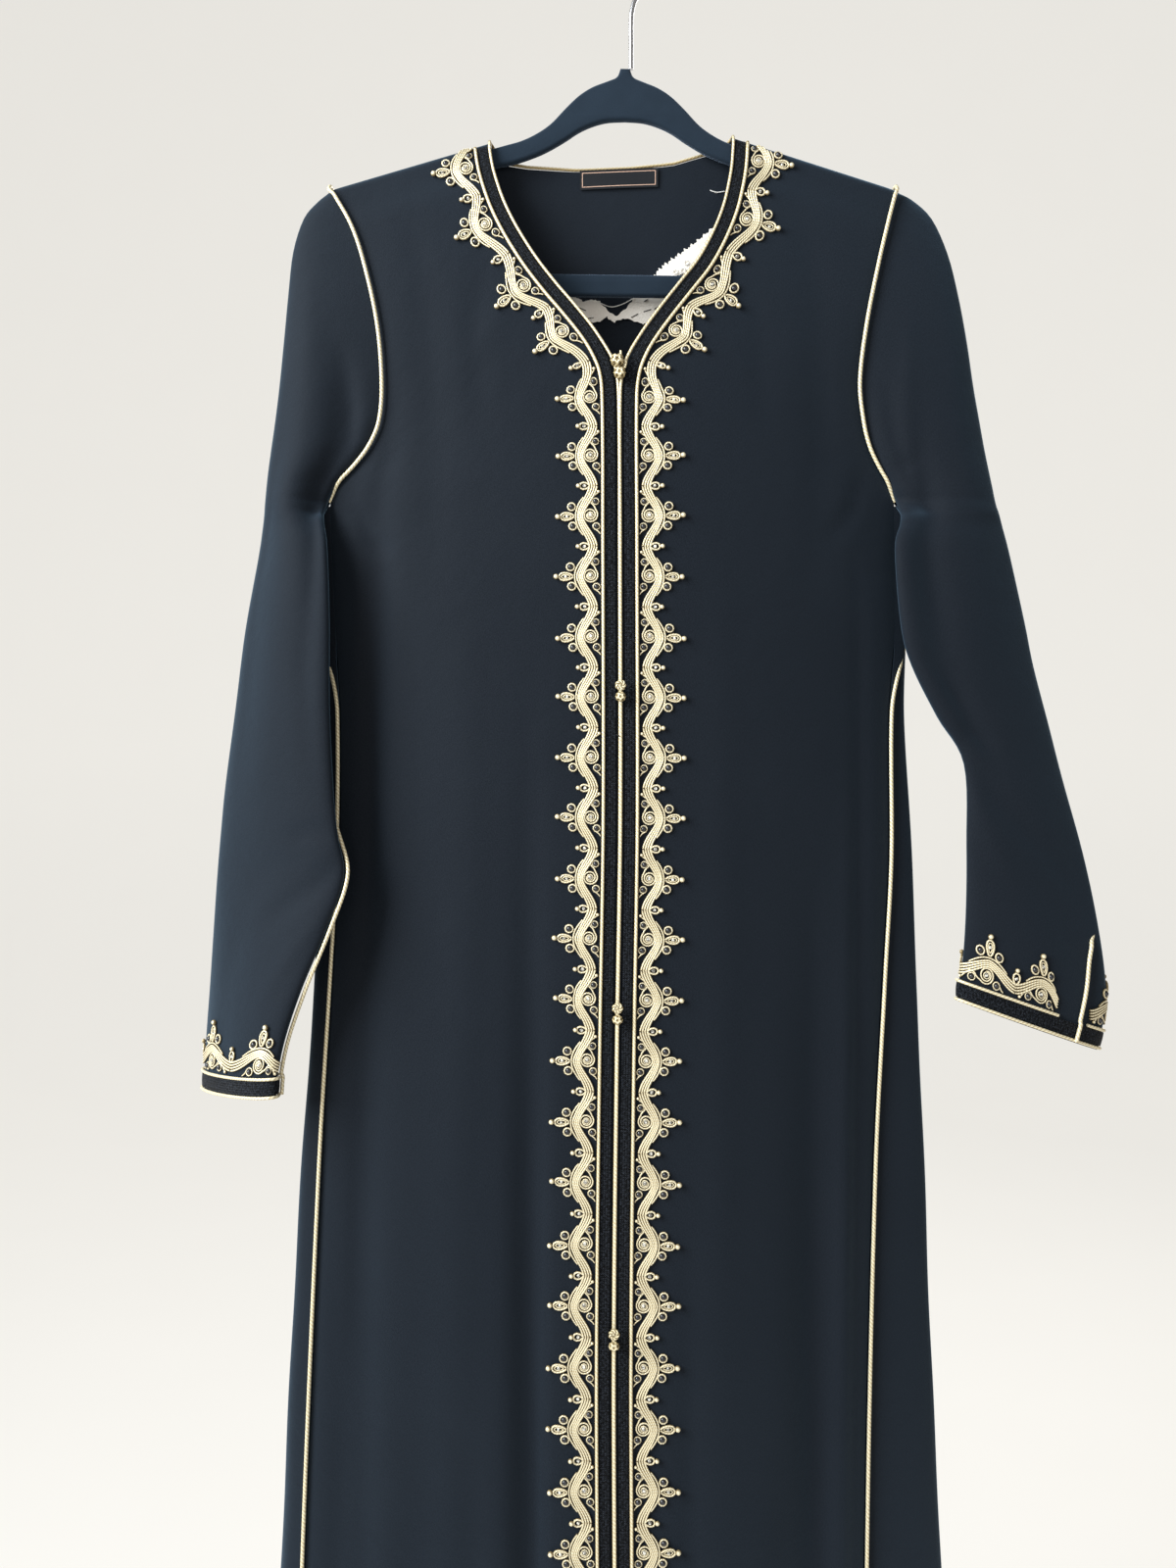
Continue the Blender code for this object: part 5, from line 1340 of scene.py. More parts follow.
# Points, thickness (radius), height above the cloth, 1 if placed from the dip, 1 if closed.
MOTIF_CORDS = [(band_line(step), 0.76, 0.85 + 0.08 * abs(step), 0, False)
               for step in (-1.5, -0.5, 0.5, 1.5)]
MOTIF_CORDS += [
    (np.array([(-12.4, 12.6), (-8.6, 15.4), (-4.4, 17.3), (0, 18), (4.4, 17.3), (8.6, 15.4), (12.4, 12.6)]),
     0.62, 0.9, 0, False),
    (ring(-6.3, 20.7, 2.5), 0.68, 0.95, 0, True),
    (ring(6.3, 19.9, 2.5), 0.68, 0.95, 0, True),
    (pear(18.9, 28, 2.75), 0.74, 1.15, 0, False),
    (pear(20.6, 26.6, 1.5), 0.5, 1, 0, False),
    (spiral(), 0.62, 0.8, 0, False),
    (ring(*SPIRAL_MIDDLE, 1.95), 0.45, 1, 0, True),
    (ring(-9.7, 4.8, 2.15), 0.52, 0.6, 0, True),
    (ring(6.6, 4.2, 2.25), 0.54, 0.6, 0, True),
    (np.array([(11.6, 1.7), (9.8, 3), (8.6, 5), (7.2, 6.4)]), 0.5, 0.75, 0, False),
    (pear(8.6, 15, 2.5), 0.74, 1, 1, False),
]
# Place along, distance out, height of the middle, radius, 1 if placed from the dip.
BLACK_BEADS = ((-6.3, 20.7, 1.3, 1.75, 0), (6.3, 19.9, 1.3, 1.75, 0), (-9.7, 4.8, 1.2, 1.6, 0),
               (6.6, 4.2, 1.2, 1.6, 0))
CRYSTALS = ((-0.8, 8.1, 1, 1.5, 0), (0, 11.9, 1.2, 1.25, 1), (0, 23.9, 1.3, 1.1, 0))
CORD_KNOTS = ((0, 29.9, 1.7, 1.85, 0), (0, 16.5, 1.6, 1.6, 1), (-15.9, 2.9, 1.1, 1.15, 0))


def flat_pattern(name, lines):
    """The drawing as a mesh of lines, with its measures on every point."""
    points, edges, kept = [], [], {"place": [], "out": [], "rise": [], "size": [], "from_dip": []}
    for places, size, rise, from_dip, closed in lines:
        edges += chain(len(points), len(places), closed)
        for place, out in places:
            points.append((place * MM, out * MM, 0))
            for key, value in zip(kept, (place, out, rise, size, from_dip)):
                kept[key].append(value)
    return new_piece(name, points, edges, kept=kept)


def flat_dots(name, dots):
    return flat_pattern(name, [([dot[:2]], dot[3], dot[2], dot[4], False) for dot in dots])


patterns = {"cordwork": flat_pattern("motif_cords", MOTIF_CORDS)}
for part, dots in (("beads", BLACK_BEADS), ("crystals", CRYSTALS), ("knots", CORD_KNOTS)):
    patterns[part] = flat_dots("motif_" + part, dots)
print("one motif:", len(MOTIF_CORDS), "cords,", len(BLACK_BEADS) + len(CRYSTALS) + len(CORD_KNOTS), "beads")

# %% [markdown]
# ## Laying the motif on the cloth
# The tree copies the flat motif onto a row of points, one for each repeat, and works out where
# each point falls along the edge and out from it. A guide sheet then turns these two numbers into
# a place on the cloth: its UV map holds them, and the tree looks up the position and the way the
# cloth faces at that UV. Each repeat leans a little its own way, from a fixed seed, as handwork
# does. The guides are deleted at the end.

# %% The laying part of the trees
def lay_motif(recipe):
    """Copies the pattern to every repeat and lays its lines on the guide."""
    make, read, given = recipe.make, recipe.read, recipe.given
    sway = make("FunctionNodeRandomValue", {2: -0.5, 3: 0.5, "Seed": given["Seed"]}, 1, data_type="FLOAT")
    stretch = make("FunctionNodeRandomValue", {2: 0.97, 3: 1.03, "Seed": given["Seed"] + 7}, 1,
                   data_type="FLOAT")
    points = recipe.store(recipe.store(given["Geometry"], "sway", sway), "stretch", stretch)
    pattern = make("GeometryNodeObjectInfo", {"Object": given["Pattern"]}, "Geometry")
    copies = make("GeometryNodeInstanceOnPoints", {"Points": points, "Instance": pattern})
    lines = make("GeometryNodeRealizeInstances", {"Geometry": copies})
    place, out, from_dip = read("place"), read("out"), read("from_dip")
    before, after, crest = read("before"), read("after"), read("crest")
    half = before + (after - before) * (place > 0)
    share = place.math("ABSOLUTE") / HALF_REPEAT
    fitted = crest + place + (half - HALF_REPEAT) * share * share * place.math("SIGN")
    dip = crest + after + place
    lean = read("sway") * (out / 20) ** 2
    distance = fitted + (dip - fitted) * from_dip + lean
    out = out * (1 + (read("stretch") - 1) * (out > 16))
    where = make("ShaderNodeCombineXYZ", {"X": distance * MM,
                                          "Y": (out * given["Scale"] + given["Shift"]) * MM})
    guide = make("GeometryNodeObjectInfo", {"Object": given["Guide"]}, "Geometry")

    def look_up(value, output="Value"):
        return make("GeometryNodeSampleUVSurface",
                    {"Mesh": guide, "Value": value, "UV Map": read("cut", "FLOAT_VECTOR"),
                     "Sample UV": where}, output, data_type="FLOAT_VECTOR")

    lines = recipe.store(lines, "facing", look_up(recipe.facing()), "FLOAT_VECTOR")
    found = look_up(make("GeometryNodeInputPosition"))
    valid = look_up(make("GeometryNodeInputPosition"), "Is Valid")
    lift = make("ShaderNodeVectorMath", {0: recipe.facing(), "Scale": read("rise") * MM},
                operation="SCALE")
    lines = recipe.store(lines, "off", 1 - valid + from_dip * read("final"))
    raised = make("ShaderNodeVectorMath", {0: found, 1: lift}, operation="ADD")
    lines = make("GeometryNodeSetPosition", {"Geometry": lines, "Position": raised})
    return make("GeometryNodeDeleteGeometry", {"Geometry": lines, "Selection": read("off") > 0.5},
                domain="POINT")


laid = {"Pattern": "object", "Guide": "object", "Seed": 1, "Scale": 1.0, "Shift": 10.9, "Finish": "material"}

# %% Cordwork and beads
cordwork_tree = Recipe("laid_cordwork", Step=0.0016, Sides=6, **laid)
laid_lines = lay_motif(cordwork_tree)
cordwork_tree.close(cordwork_tree.cord(laid_lines, cordwork_tree.read("size") * MM))


def bead_recipe(name, kind, shape):
    """One bead at every dot, flattened and turned to lie on the cloth."""
    recipe = Recipe(name, Flat=0.8, **laid)
    dots = lay_motif(recipe)
    bead = recipe.make(kind, shape, "Mesh")
    upright = recipe.make("FunctionNodeAlignRotationToVector", {"Vector": recipe.facing()},
                          "Rotation", axis="Z")
    size = recipe.read("size") * MM
    scale = recipe.make("ShaderNodeCombineXYZ", {"X": size, "Y": size, "Z": size * recipe.given["Flat"]})
    recipe.close(recipe.make("GeometryNodeInstanceOnPoints",
                             {"Points": dots, "Instance": bead, "Rotation": upright, "Scale": scale}))
    return recipe


round_bead = bead_recipe("round_beads", "GeometryNodeMeshIcoSphere", {"Radius": 1, "Subdivisions": 2})
cut_crystal = bead_recipe("cut_crystals", "GeometryNodeMeshCone",
                          {"Vertices": 8, "Radius Top": 0.55, "Radius Bottom": 1, "Depth": 0.9})
print("cordwork tree has", len(cordwork_tree.tree.nodes), "nodes")

# %% Bead and crystal finishes
black_glass = Finish("black_glass_beads", (0.006, 0.006, 0.009), 0.14, specular=0.7)
ripple = black_glass.noise(black_glass.place(), 700, detail=1)
black_glass.paint(black_glass.blend(ripple.smooth(0.35, 0.7), (0.004, 0.004, 0.006), (0.016, 0.016, 0.021)),
                  0.1 + ripple * 0.1)
crystal = Finish("pale_crystal", (0.52, 0.5, 0.45), 0.08, metallic=0.35, specular=0.9)
# Bright and dark patches are painted reflections, standing in for the sparkle of the cut facets.
facet_glints = crystal.noise(crystal.place(), 900, detail=0)
crystal.paint(crystal.blend(facet_glints.smooth(0.4, 0.6), (0.2, 0.19, 0.17), (0.85, 0.82, 0.74)),
              0.06 + facet_glints * 0.1)
print("bead finishes made")

# %% Guide sheets of the fronts
GUIDE_OFFSETS = np.linspace(8, 50, 22)


def guide_sheet(name, points, facings, distances, offsets, keep=None):
    flat = laid_flat(distances[:, None], offsets[None, :])
    made = grid_mesh(name, points, flat, {"facing": facings.reshape(-1, 3)})
    if keep is not None:
        with edited(made.data) as mesh:
            mesh.verts.ensure_lookup_table()
            off = [mesh.verts[int(index)] for index in np.flatnonzero(~keep.reshape(-1))]
            bmesh.ops.delete(mesh, geom=off, context="VERTS")
    return made


def front_guide(side, name):
    distances = np.append(np.arange(0, EDGE_LENGTH[side], 2.5), EDGE_LENGTH[side])
    x, height = edge_place(side, distances[:, None], GUIDE_OFFSETS[None, :])
    return guide_sheet("guide_front_" + name, on_cloth(front_y, x, height), facing(front_y, x, height),
                       distances, GUIDE_OFFSETS, height < shoulder_height(x) - 0.4)


def repeats_object(name, crests, first, last, points):
    """One point for each repeat, with its crest and how far it reaches before and after it."""
    crests = np.asarray(crests, float)
    ends = np.concatenate([[first], (crests[:-1] + crests[1:]) / 2, [last]])
    return new_piece(name, [tuple(point * MM) for point in points], kept={
        "crest": crests, "before": crests - ends[:-1], "after": ends[1:] - crests,
        "final": np.arange(len(crests)) == len(crests) - 1})


def embroider(name, node, guide, crests, first, last, points, seed, scale=1.0, shift=10.9):
    """Cordwork, cord knots, beads and crystals of one row of motifs."""
    faces = 0
    for part, recipe, finish, slot, values in (
            ("cordwork", cordwork_tree, gold_work, "gold_cordwork", {}),
            ("knots", round_bead, gold_work, "gold_cordwork", {"Flat": 0.9}),
            ("beads", round_bead, black_glass, "black_braid", {"Flat": 0.8}),
            ("crystals", cut_crystal, crystal, "gold_cordwork", {"Flat": 0.8})):
        piece = repeats_object("%s_%s" % (part, name), crests, first, last, points)
        recipe.run(piece, finish, Pattern=patterns[part], Guide=guide, Seed=seed, Scale=scale, Shift=shift,
                   **values)
        if part == "crystals":
            piece.data.shade_flat()
        dress(piece, slot, *([node] if part == "cordwork" else []))
        faces += len(piece.data.polygons)
    print(name + ":", len(crests), "motifs,", faces, "faces")


# %% Embroidery of the fronts
NECK_CRESTS = (16, 54, 100, 140)
FIRST_STRAIGHT_CREST, REPEAT, STRAIGHT_CRESTS = 200, 39.4, 31
guides = []
crests = list(NECK_CRESTS) + [FIRST_STRAIGHT_CREST + REPEAT * number for number in range(STRAIGHT_CRESTS)]
for side, name in SIDES:
    guide = front_guide(side, name)
    guides.append(guide)
    embroider("front_" + name, "embroidery_" + name, guide, crests, 2, EDGE_LENGTH[side] - 2,
              on_front(side, np.array(crests), 20, 1), seed=3 + side)

# %% [markdown]
# ## Cuffs
# The cuffs carry the same trimming: braid above the hem with a fine cord along each side of it,
# and four or five motifs standing up the sleeve. Braid and lower cord run right round. The upper
# cord and the motifs leave the underarm seam bare.

# %% Places round a cuff
CUFF_CORD_LOW, CUFF_CORD_HIGH = 1.4, 13.6
CUFF_BRAID_LOW, CUFF_BRAID_HIGH, CUFF_BRAID_LIFT = 2.9, 12.1, 1.6
CUFF_GAP, CUFF_SCALE, CUFF_END = 6, 1.17, {-1: 6, 1: 19.5}
# Crests of the motifs, from the underarm seam round the cuff.
CUFF_CRESTS = {-1: (19.9, 73.9, 120, 162.5), 1: (25, 67, 109, 151.2, 188.9)}


def on_cuff(side, turn, rise, lift):
    turn, rise = paired(turn, rise)
    return sleeve_lifted(side, row_above_hem(side, rise, turn % 1), turn % 1, lift)


def cuff_turns(side, shares):
    """Places round the sleeve, counted in shares of a turn from its seam."""
    return cuff_seam(side) % 1 + shares


def cuff_girth(side):
    """Shares of a turn from the seam, and the distance to each of them above the braid."""
    shares = np.linspace(0, 1, 121)
    return shares, reached_along(on_cuff(side, cuff_turns(side, shares), CUFF_BAND_START, 0))


def cuff_guide(side, name):
    shares, reached = cuff_girth(side)
    offsets = np.linspace(10, 54, 23)
    turn, rise = paired(cuff_turns(side, shares[:, None]) % 1, offsets)
    rows = row_above_hem(side, rise, turn)
    return guide_sheet("guide_cuff_" + name, sleeve_point(side, rows, turn), sleeve_facing(side, rows, turn),
                       reached, offsets)


# %% Braids, cords and embroidery of the cuffs
for side, name in SIDES:
    turns = np.linspace(0, 1, 97)
    rises = np.linspace(CUFF_BRAID_HIGH, CUFF_BRAID_LOW, 9)
    crown = CUFF_BRAID_LIFT + 0.2 * np.sin(np.linspace(0, np.pi, 9)) - 0.12
    band = on_cuff(side, turns[None, :], rises[:, None], crown[:, None])
    girth = reached_along(band[4])
    flat = laid_flat(rises[:, None], girth[None, :])
    if side < 0:
        band, flat = band[:, ::-1], flat[:, ::-1]
    strip = grid_mesh("black_cuff_braid_" + name, band, flat)
    sew_shut(strip)
    dress(wall(strip, BRAID_THICK, braid), "black_braid", "cuff_braid_" + name)
    low = on_cuff(side, np.linspace(0, 1, 72, endpoint=False), CUFF_CORD_LOW, CORD_LIFT + 0.05)
    shares, reached = cuff_girth(side)
    total = float(reached[-1])
    first, last = CUFF_GAP, total - CUFF_END[side]
    ends = np.interp([first - 1.5, last + 1.5], reached, shares)
    high = on_cuff(side, cuff_turns(side, np.linspace(*ends, 72)), CUFF_CORD_HIGH, CORD_LIFT + 0.05)
    for height, path in (("low", low), ("high", high)):
        lay_cord("gold_cuff_cord_%s_%s" % (height, name), [path], CORD_RADIUS, gold_cord, "gold_cord",
                 ["cuff_cord_%s_%s" % (height, name)], closed=height == "low", step=1.4)
    guide = cuff_guide(side, name)
    guides.append(guide)
    crests = np.array(CUFF_CRESTS[side])
    places = on_cuff(side, cuff_turns(side, np.interp(crests, reached, shares)), 25, 1)
    embroider("cuff_" + name, "cuff_embroidery_" + name, guide, crests, first, last, places, seed=11 + side,
              scale=CUFF_SCALE, shift=CUFF_CORD_HIGH)
    print("cuff", name, "is", round(total, 1), "mm round, with", len(crests), "motifs")

# %% [markdown]
# ## Back
# A V of the same cordwork dips from the shoulders down the upper back, under one gold cord.

# %% Embroidery of the back
# Upper edge of the back's embroidery, from the shoulder to the middle: X from the middle, height.
BACK_V = ((87.5, -135.5), (86, -155), (77, -180), (58, -195.5), (38.5, -209), (0, -235))
BACK_V_MIDDLE = -10
BACK_CRESTS, BACK_STOP, BACK_CORD_STOP, BACK_LOOK = (28, 68, 107), 6, 4, 9


def back_path():
    half = np.array([(-reach, height) for reach, height in BACK_V])
    corners = np.concatenate([half, half[-2::-1] * (-1, 1)]) + (BACK_V_MIDDLE, 0)
    return reached_along(corners), corners


def on_back(distance, offset):
    """X and height of a place below the V, square to it."""
    x, height = beside(back_path(), distance, offset, BACK_LOOK, -1)
    return x, np.minimum(height, shoulder_height(x) - ARCH_RADIUS)


total = float(back_path()[0][-1])
distances = np.linspace(0, total, 161)
offsets = np.linspace(0, 42, 22)
x, height = on_back(distances[:, None], offsets[None, :])
keep = height < shoulder_height(x) - ARCH_RADIUS - 0.3
guide = guide_sheet("guide_back", on_cloth(back_y, x, height), facing(back_y, x, height), distances,
                    offsets, keep)
guides.append(guide)
crests = np.array(list(BACK_CRESTS) + [total - place for place in reversed(BACK_CRESTS)])
places = lifted(back_y, *on_back(crests, 10), 1)
embroider("back", "embroidery_back", guide, crests, BACK_STOP, total - BACK_STOP, places, seed=23, shift=1.0)
path = lifted(back_y, *on_back(np.linspace(BACK_CORD_STOP, total - BACK_CORD_STOP, 60), 0), CORD_LIFT)
lay_cord("gold_back_cord", [path], CORD_RADIUS, gold_cord, "gold_cord", ["back_cord"], step=1.4)
for extra in guides + list(patterns.values()):
    bpy.data.objects.remove(extra, do_unlink=True)
print("guides removed")

# %% [markdown]
# ## Closures
# Pairs of knotted cord buttons stand down the middle, one above the other, on a short twist of
# cord: a wound ring that serves as the loop, and below it a ball worked as a Turk's head. Both
# are closed curves with a formula, so the cord recipe can sweep them too. A small solid core
# keeps light from showing through the ball.

# %% Knots
CLOSURE_TOP, CLOSURE_STEP, CLOSURES, KNOT_RADIUS, KNOT_APART = -291.2, 208.6, 6, 3, 3.7


def turks_head(reach, leads=3, bights=5, swing=1.12, count=120):
    """A cord woven over and under itself on a ball; the poles are in front and behind."""
    turn = np.linspace(0, 2 * np.pi * leads, count, endpoint=False)
    latitude = swing * np.sin(bights * turn / leads)
    out = reach + 0.22 * np.cos(2 * bights * turn / leads)
    return np.stack([out * np.cos(latitude) * np.cos(turn), out * np.sin(latitude),
                     out * np.cos(latitude) * np.sin(turn)], axis=-1)


def wound_ring(reach, tube, winds=7, count=96):
    """A cord wound round a ring that faces forward."""
    turn = np.linspace(0, 4 * np.pi, count, endpoint=False)
    bearing = winds * turn / 2
    out = reach + tube * np.cos(bearing)
    return np.stack([out * np.cos(turn), tube * np.sin(bearing), out * np.sin(turn)], axis=-1)


def twist(top, bottom, reach=0.5, turns=1.25, phase=0):
    share = np.linspace(0, 1, 14)[:, None]
    bearing = 2 * np.pi * turns * share[:, 0] + phase
    path = np.asarray(top) * (1 - share) + np.asarray(bottom) * share
    return path + np.stack([reach * np.cos(bearing), reach * np.sin(bearing), 0 * bearing], axis=-1)


def add_core(made, centres, reach):
    with edited(made.data) as mesh:
        for centre in centres:
            bmesh.ops.create_icosphere(mesh, subdivisions=2, radius=reach * MM,
                                       matrix=Matrix.Translation(Vector(centre) * MM))
    made.data.shade_smooth()


def closure_middle(number):
    height = CLOSURE_TOP - CLOSURE_STEP * number
    left_x, right_x = (float(along(NECK[side], height, 1)) for side, name in SIDES)
    x, apart = (left_x + right_x) / 2, (right_x - left_x) / 2 + 0.1
    reach = KNOT_RADIUS + CORD_RADIUS + CLEAR
    above = math.sqrt(max(reach ** 2 - apart ** 2, 1))
    return np.array([x, float(front_y(x, height)) - CORD_LIFT - above, height])


for number in range(CLOSURES):
    middle = closure_middle(number)
    upper, lower = middle + (0, 0, KNOT_APART), middle - (0, 0, KNOT_APART)
    if number == 0:
        upper, lower = upper + (-1.6, 0.2, 3.2), lower + (0, 0, 2.4)
        closed = [upper + turks_head(3.6), lower + turks_head(3.1)]
        loose = [np.array([upper + (1.9, 0.3, 1.6), upper + (2.4, 0.4, 4), upper + (2.2, 0.5, 6.4)]),
                 np.array([lower + (3.2, 0.3, 3), lower + (4, 0.4, 5.4), lower + (4.3, 0.6, 7.6)])]
        cores, reach = [upper, lower], 2.7
    else:
        closed = [upper + wound_ring(2.35, 0.75), lower + turks_head(2.6)]
        loose, cores, reach = [], [lower], 2.2
    links = [twist(upper + (0, 0.3, -2.2), lower + (0, 0.3, 2), phase=phase) for phase in (0, np.pi)]
    lines = closed + links + loose
    piece = line_object("gold_closure_%d" % (number + 1), lines,
                        [True] * len(closed) + [False] * (len(lines) - len(closed)), (0, -1, 0))
    cord_recipe.run(piece, gold_knot, Radius=(0.68 if number else 0.78) * MM, Step=0.8 * MM, Sides=6)
    add_core(piece, cores, reach)
    dress(piece, "gold_cord", "closure_%d" % (number + 1))
print(CLOSURES, "closures, each of", len(piece.data.polygons), "faces")

# %% [markdown]
# ## Behind the embroidery: backing and label
# The cordwork of the back is sewn through a white stabiliser, cut roughly round it afterwards, so
# its edges are frayed and black dashes of the under-thread show on it. It is a band along the V
# whose two edges are drawn as functions of the distance from the middle. The label is a plain
# woven tab with a thin border and nothing on it.

# %% Backing
BACKING_DEPTH, BACKING_THICK, BACKING_STOP = 2.7, 0.8, 14
fleece = Finish("white_backing", (0.84, 0.8, 0.78), 0.9, sheen=0.1)
felt = fleece.noise(fleece.place("UV"), 900, detail=3)
blotch = fleece.noise(fleece.place("UV"), 90, detail=2)
fleece.paint(fleece.blend(felt * 0.5 + blotch * 0.5, (0.72, 0.66, 0.59), (0.93, 0.88, 0.8)),
             0.8 + felt * 0.15, fleece.relief(felt + blotch, 0.0005, 0.8))


def thread_finish(name, colour, dark, light, roughness):
    made = Finish(name, colour, roughness)
    made.paint(made.blend(made.noise(made.place(), 3000), dark, light))
    return made


thread_black = thread_finish("black_thread", (0.006, 0.006, 0.007), (0.004, 0.004, 0.005),
                             (0.014, 0.014, 0.016), 0.7)
thread_white = thread_finish("white_thread", (0.85, 0.83, 0.79), (0.72, 0.69, 0.64),
                             (0.92, 0.9, 0.86), 0.6)


def frayed(distance, seed, size):
    """Uneven edge: three sines with no common period."""
    return size * (0.5 * np.sin(distance * 1.13 + seed) + 0.32 * np.sin(distance * 2.37 + 2 * seed)
                   + 0.26 * np.sin(distance * 4.1 + 3 * seed))


def backing_edges(distance):
    """Offsets of the upper and lower edge, from the V's line."""
    aside = distance - total / 2
    far = np.abs(aside)
    notch = np.clip((far - 5) / 8, 0, 1)
    lower = 8.2 + 13 * notch ** 0.7 + np.where(far < 34, frayed(distance, 1.3, 1.1), 0)
    middle = np.clip(1 - far / 15, 0, 1)
    upper = np.where(aside < 0, np.clip((far - 12) / 10, 0, 1) * 9, 0) + 5.5 * middle ** 0.5
    upper = upper + frayed(distance, 4.4, 0.8) - 1
    upper = upper - (5 - frayed(distance, 2.2, 1.6)) * soft_step((aside - 20) / 25)
    return np.minimum(upper, lower - 2), lower


def face_forward(made):
    """Turns a sheet that is seen from inside the neck towards the front."""
    if np.array([face.normal.y for face in made.data.polygons]).mean() < 0:
        made.data.flip_normals()


distances = np.linspace(BACKING_STOP, total - BACKING_STOP, 260)
upper, lower = backing_edges(distances)
share = np.linspace(0, 1, 12)[:, None]
offsets = upper * (1 - share) + lower * share
x, height = on_back(np.broadcast_to(distances, offsets.shape), offsets)
sag = frayed(distances * 0.11, 2, 0.25)[None, :] * share
points = lifted(back_y, x, height, -(BACKING_DEPTH + np.abs(sag))[..., None])
flat = laid_flat(distances[None, :], offsets)
strip = grid_mesh("white_backing_strip", points[:, ::-1], flat[:, ::-1])
face_forward(strip)
dress(wall(strip, BACKING_THICK, fleece), "white_backing", "backing")
print("backing of", len(strip.data.polygons), "faces")

# %% Threads on the backing
def inside_back(distance, offset, proud=0.35):
    """A point on the inner face of the backing, where the distance counts from the V's middle."""
    x, height = on_back(total / 2 + np.asarray(distance, float), np.asarray(offset, float))
    return lifted(back_y, x, height, -(BACKING_DEPTH + BACKING_THICK + proud))


DASHES = ((-31, 12.5, -27.5, 11), (-24, 13.5, -16.5, 12), (-28, 17.5, -24, 17),
          (-13, 16, -9.5, 13), (7, 10.5, 11, 11), (15, 12, 20, 13.5),
          (22, 14.5, 26, 15), (19, 6.5, 22, 6.8), (27, 8, 30, 9.5), (46, 5, 51, 6.5),
          (53, 8, 58, 7), (49, 12, 53, 13.5))
dashes = [inside_back([a, (a + c) / 2, c], [b, (b + d) / 2, d]) for a, b, c, d in DASHES]
crossing = lifted(front_y, np.array([-10.6, -9.2, -8.2]), np.array([-527.8, -528.6, -529.4]),
                  CORD_LIFT + CORD_RADIUS)
lay_cord("black_under_thread", dashes + [crossing], 0.34, thread_black, "black_braid", [], step=1,
         sides=5)
bridge = inside_back([-12, -4, 5, 15], [2.5, 0.5, -0.5, 0.8], 0.6)
frays = [inside_back([-19, -16.5, -15], [21, 24, 23]),
         inside_back([-11, -9.6, -9.2], [12, 16, 19.5])]
stray = lifted(back_y, np.array([54, 58.5, 64]), np.array([-156, -157.4, -156.8]), -1.75)
bearing = np.linspace(0, 1.7 * np.pi, 12)
LOOPS = ((38, 3.2), (43, 4.6), (47.5, 2.2), (52, 4.4), (57, 1.6), (61, 5.2), (41, 9))
loops = [inside_back(place + 1.7 * np.cos(bearing + place), offset + 1.5 * np.sin(bearing + place), 0.7)
         for place, offset in LOOPS]
lay_cord("white_loose_threads", [bridge, stray] + frays + loops, 0.32, thread_white, "white_backing", [],
         step=1, sides=5)
print(len(dashes), "dashes of under-thread")

# %% Label
LABEL_THICK, LABEL_DEPTH, LABEL_WIDE, LABEL_HIGH = 0.5, 2.2, 53, 12.5
LABEL_MIDDLE, LABEL_TILT = (-8, -148.5), 0.035
BORDER_INSET, BORDER_WIDE = 1.5, 0.45
tab = Finish("label_satin", (0.006, 0.007, 0.01), 0.45, specular=0.25)
u, v, none = tab.place("UV").split()
from_side = LABEL_WIDE * MM / 2 - u.math("ABSOLUTE")
from_end = LABEL_HIGH * MM / 2 - v.math("ABSOLUTE")
nearest = from_side.math("MINIMUM", from_end)
border = (nearest > BORDER_INSET * MM) * (nearest < (BORDER_INSET + BORDER_WIDE) * MM)
satin = tab.grain(tab.place("UV"), 400, 5000)
ground = tab.blend(satin, (0.003, 0.004, 0.006), (0.009, 0.011, 0.015))
tab.paint(tab.blend(border, ground, (0.62, 0.4, 0.3)), 0.34 + satin * 0.15,
          tab.relief(satin + border * 1.5, 0.00008, 0.8))
across = np.linspace(-LABEL_WIDE / 2, LABEL_WIDE / 2, 41)
up = np.linspace(LABEL_HIGH / 2, -LABEL_HIGH / 2, 13)
x = np.broadcast_to(LABEL_MIDDLE[0] + across, (13, 41))
height = LABEL_MIDDLE[1] + up[:, None] + (across * LABEL_TILT)[None, :]
wave = 0.25 * np.cos(across / 9)[None, :] * np.linspace(0, 1, 13)[:, None]
points = lifted(back_y, x, height, -(LABEL_DEPTH + wave)[..., None])
flat = laid_flat(across[None, :], up[:, None])
label = grid_mesh("blank_label", points[:, ::-1], flat[:, ::-1])
face_forward(label)
dress(wall(label, LABEL_THICK, tab, sharp=60), "label_satin", "label")
print("blank label,", LABEL_WIDE, "x", LABEL_HIGH, "mm")

# %% [markdown]
# ## Hanger
# A slim plastic hanger with a velvety flocked coat, and a wire hook. The body is a flat outline
# with a hole, extruded with rounded edges, which is what a filled Blender curve does. The flock
# is a very fine bump under a soft sheen. The hook is bright round wire.

# %% Hanger body
HANGER_THICK, HANGER_EDGE = 6, 2.2
# Half of the hanger's body, as distance from its middle and height: the top edge from the hub out
# and round the end to the bar, then the inner edge from the arm's underside round to the bar.
HANGER_OUTSIDE = (
    (3.2, -79), (5.6, -84.6), (12, -87.6), (22, -91.6), (31, -97.4), (40, -106),
    (50, -116.6), (60, -123.6), (70, -128.4), (80, -131.4), (93, -135.2), (120, -143.2),
    (150, -152), (166, -155.6), (174, -159.8), (178, -165.6), (178.4, -173),
    (175, -190), (166, -211), (150, -226), (130, -232),
)
HANGER_INSIDE = (
    (0, -113.6), (12, -114.4), (22, -117.2), (31, -121.4), (40, -127.4), (50, -133.4),
    (60, -138.2), (75, -143.4), (93, -147.2), (120, -155), (148, -164), (159, -171),
    (163, -180), (157, -198), (144, -212), (127, -217.6),
)
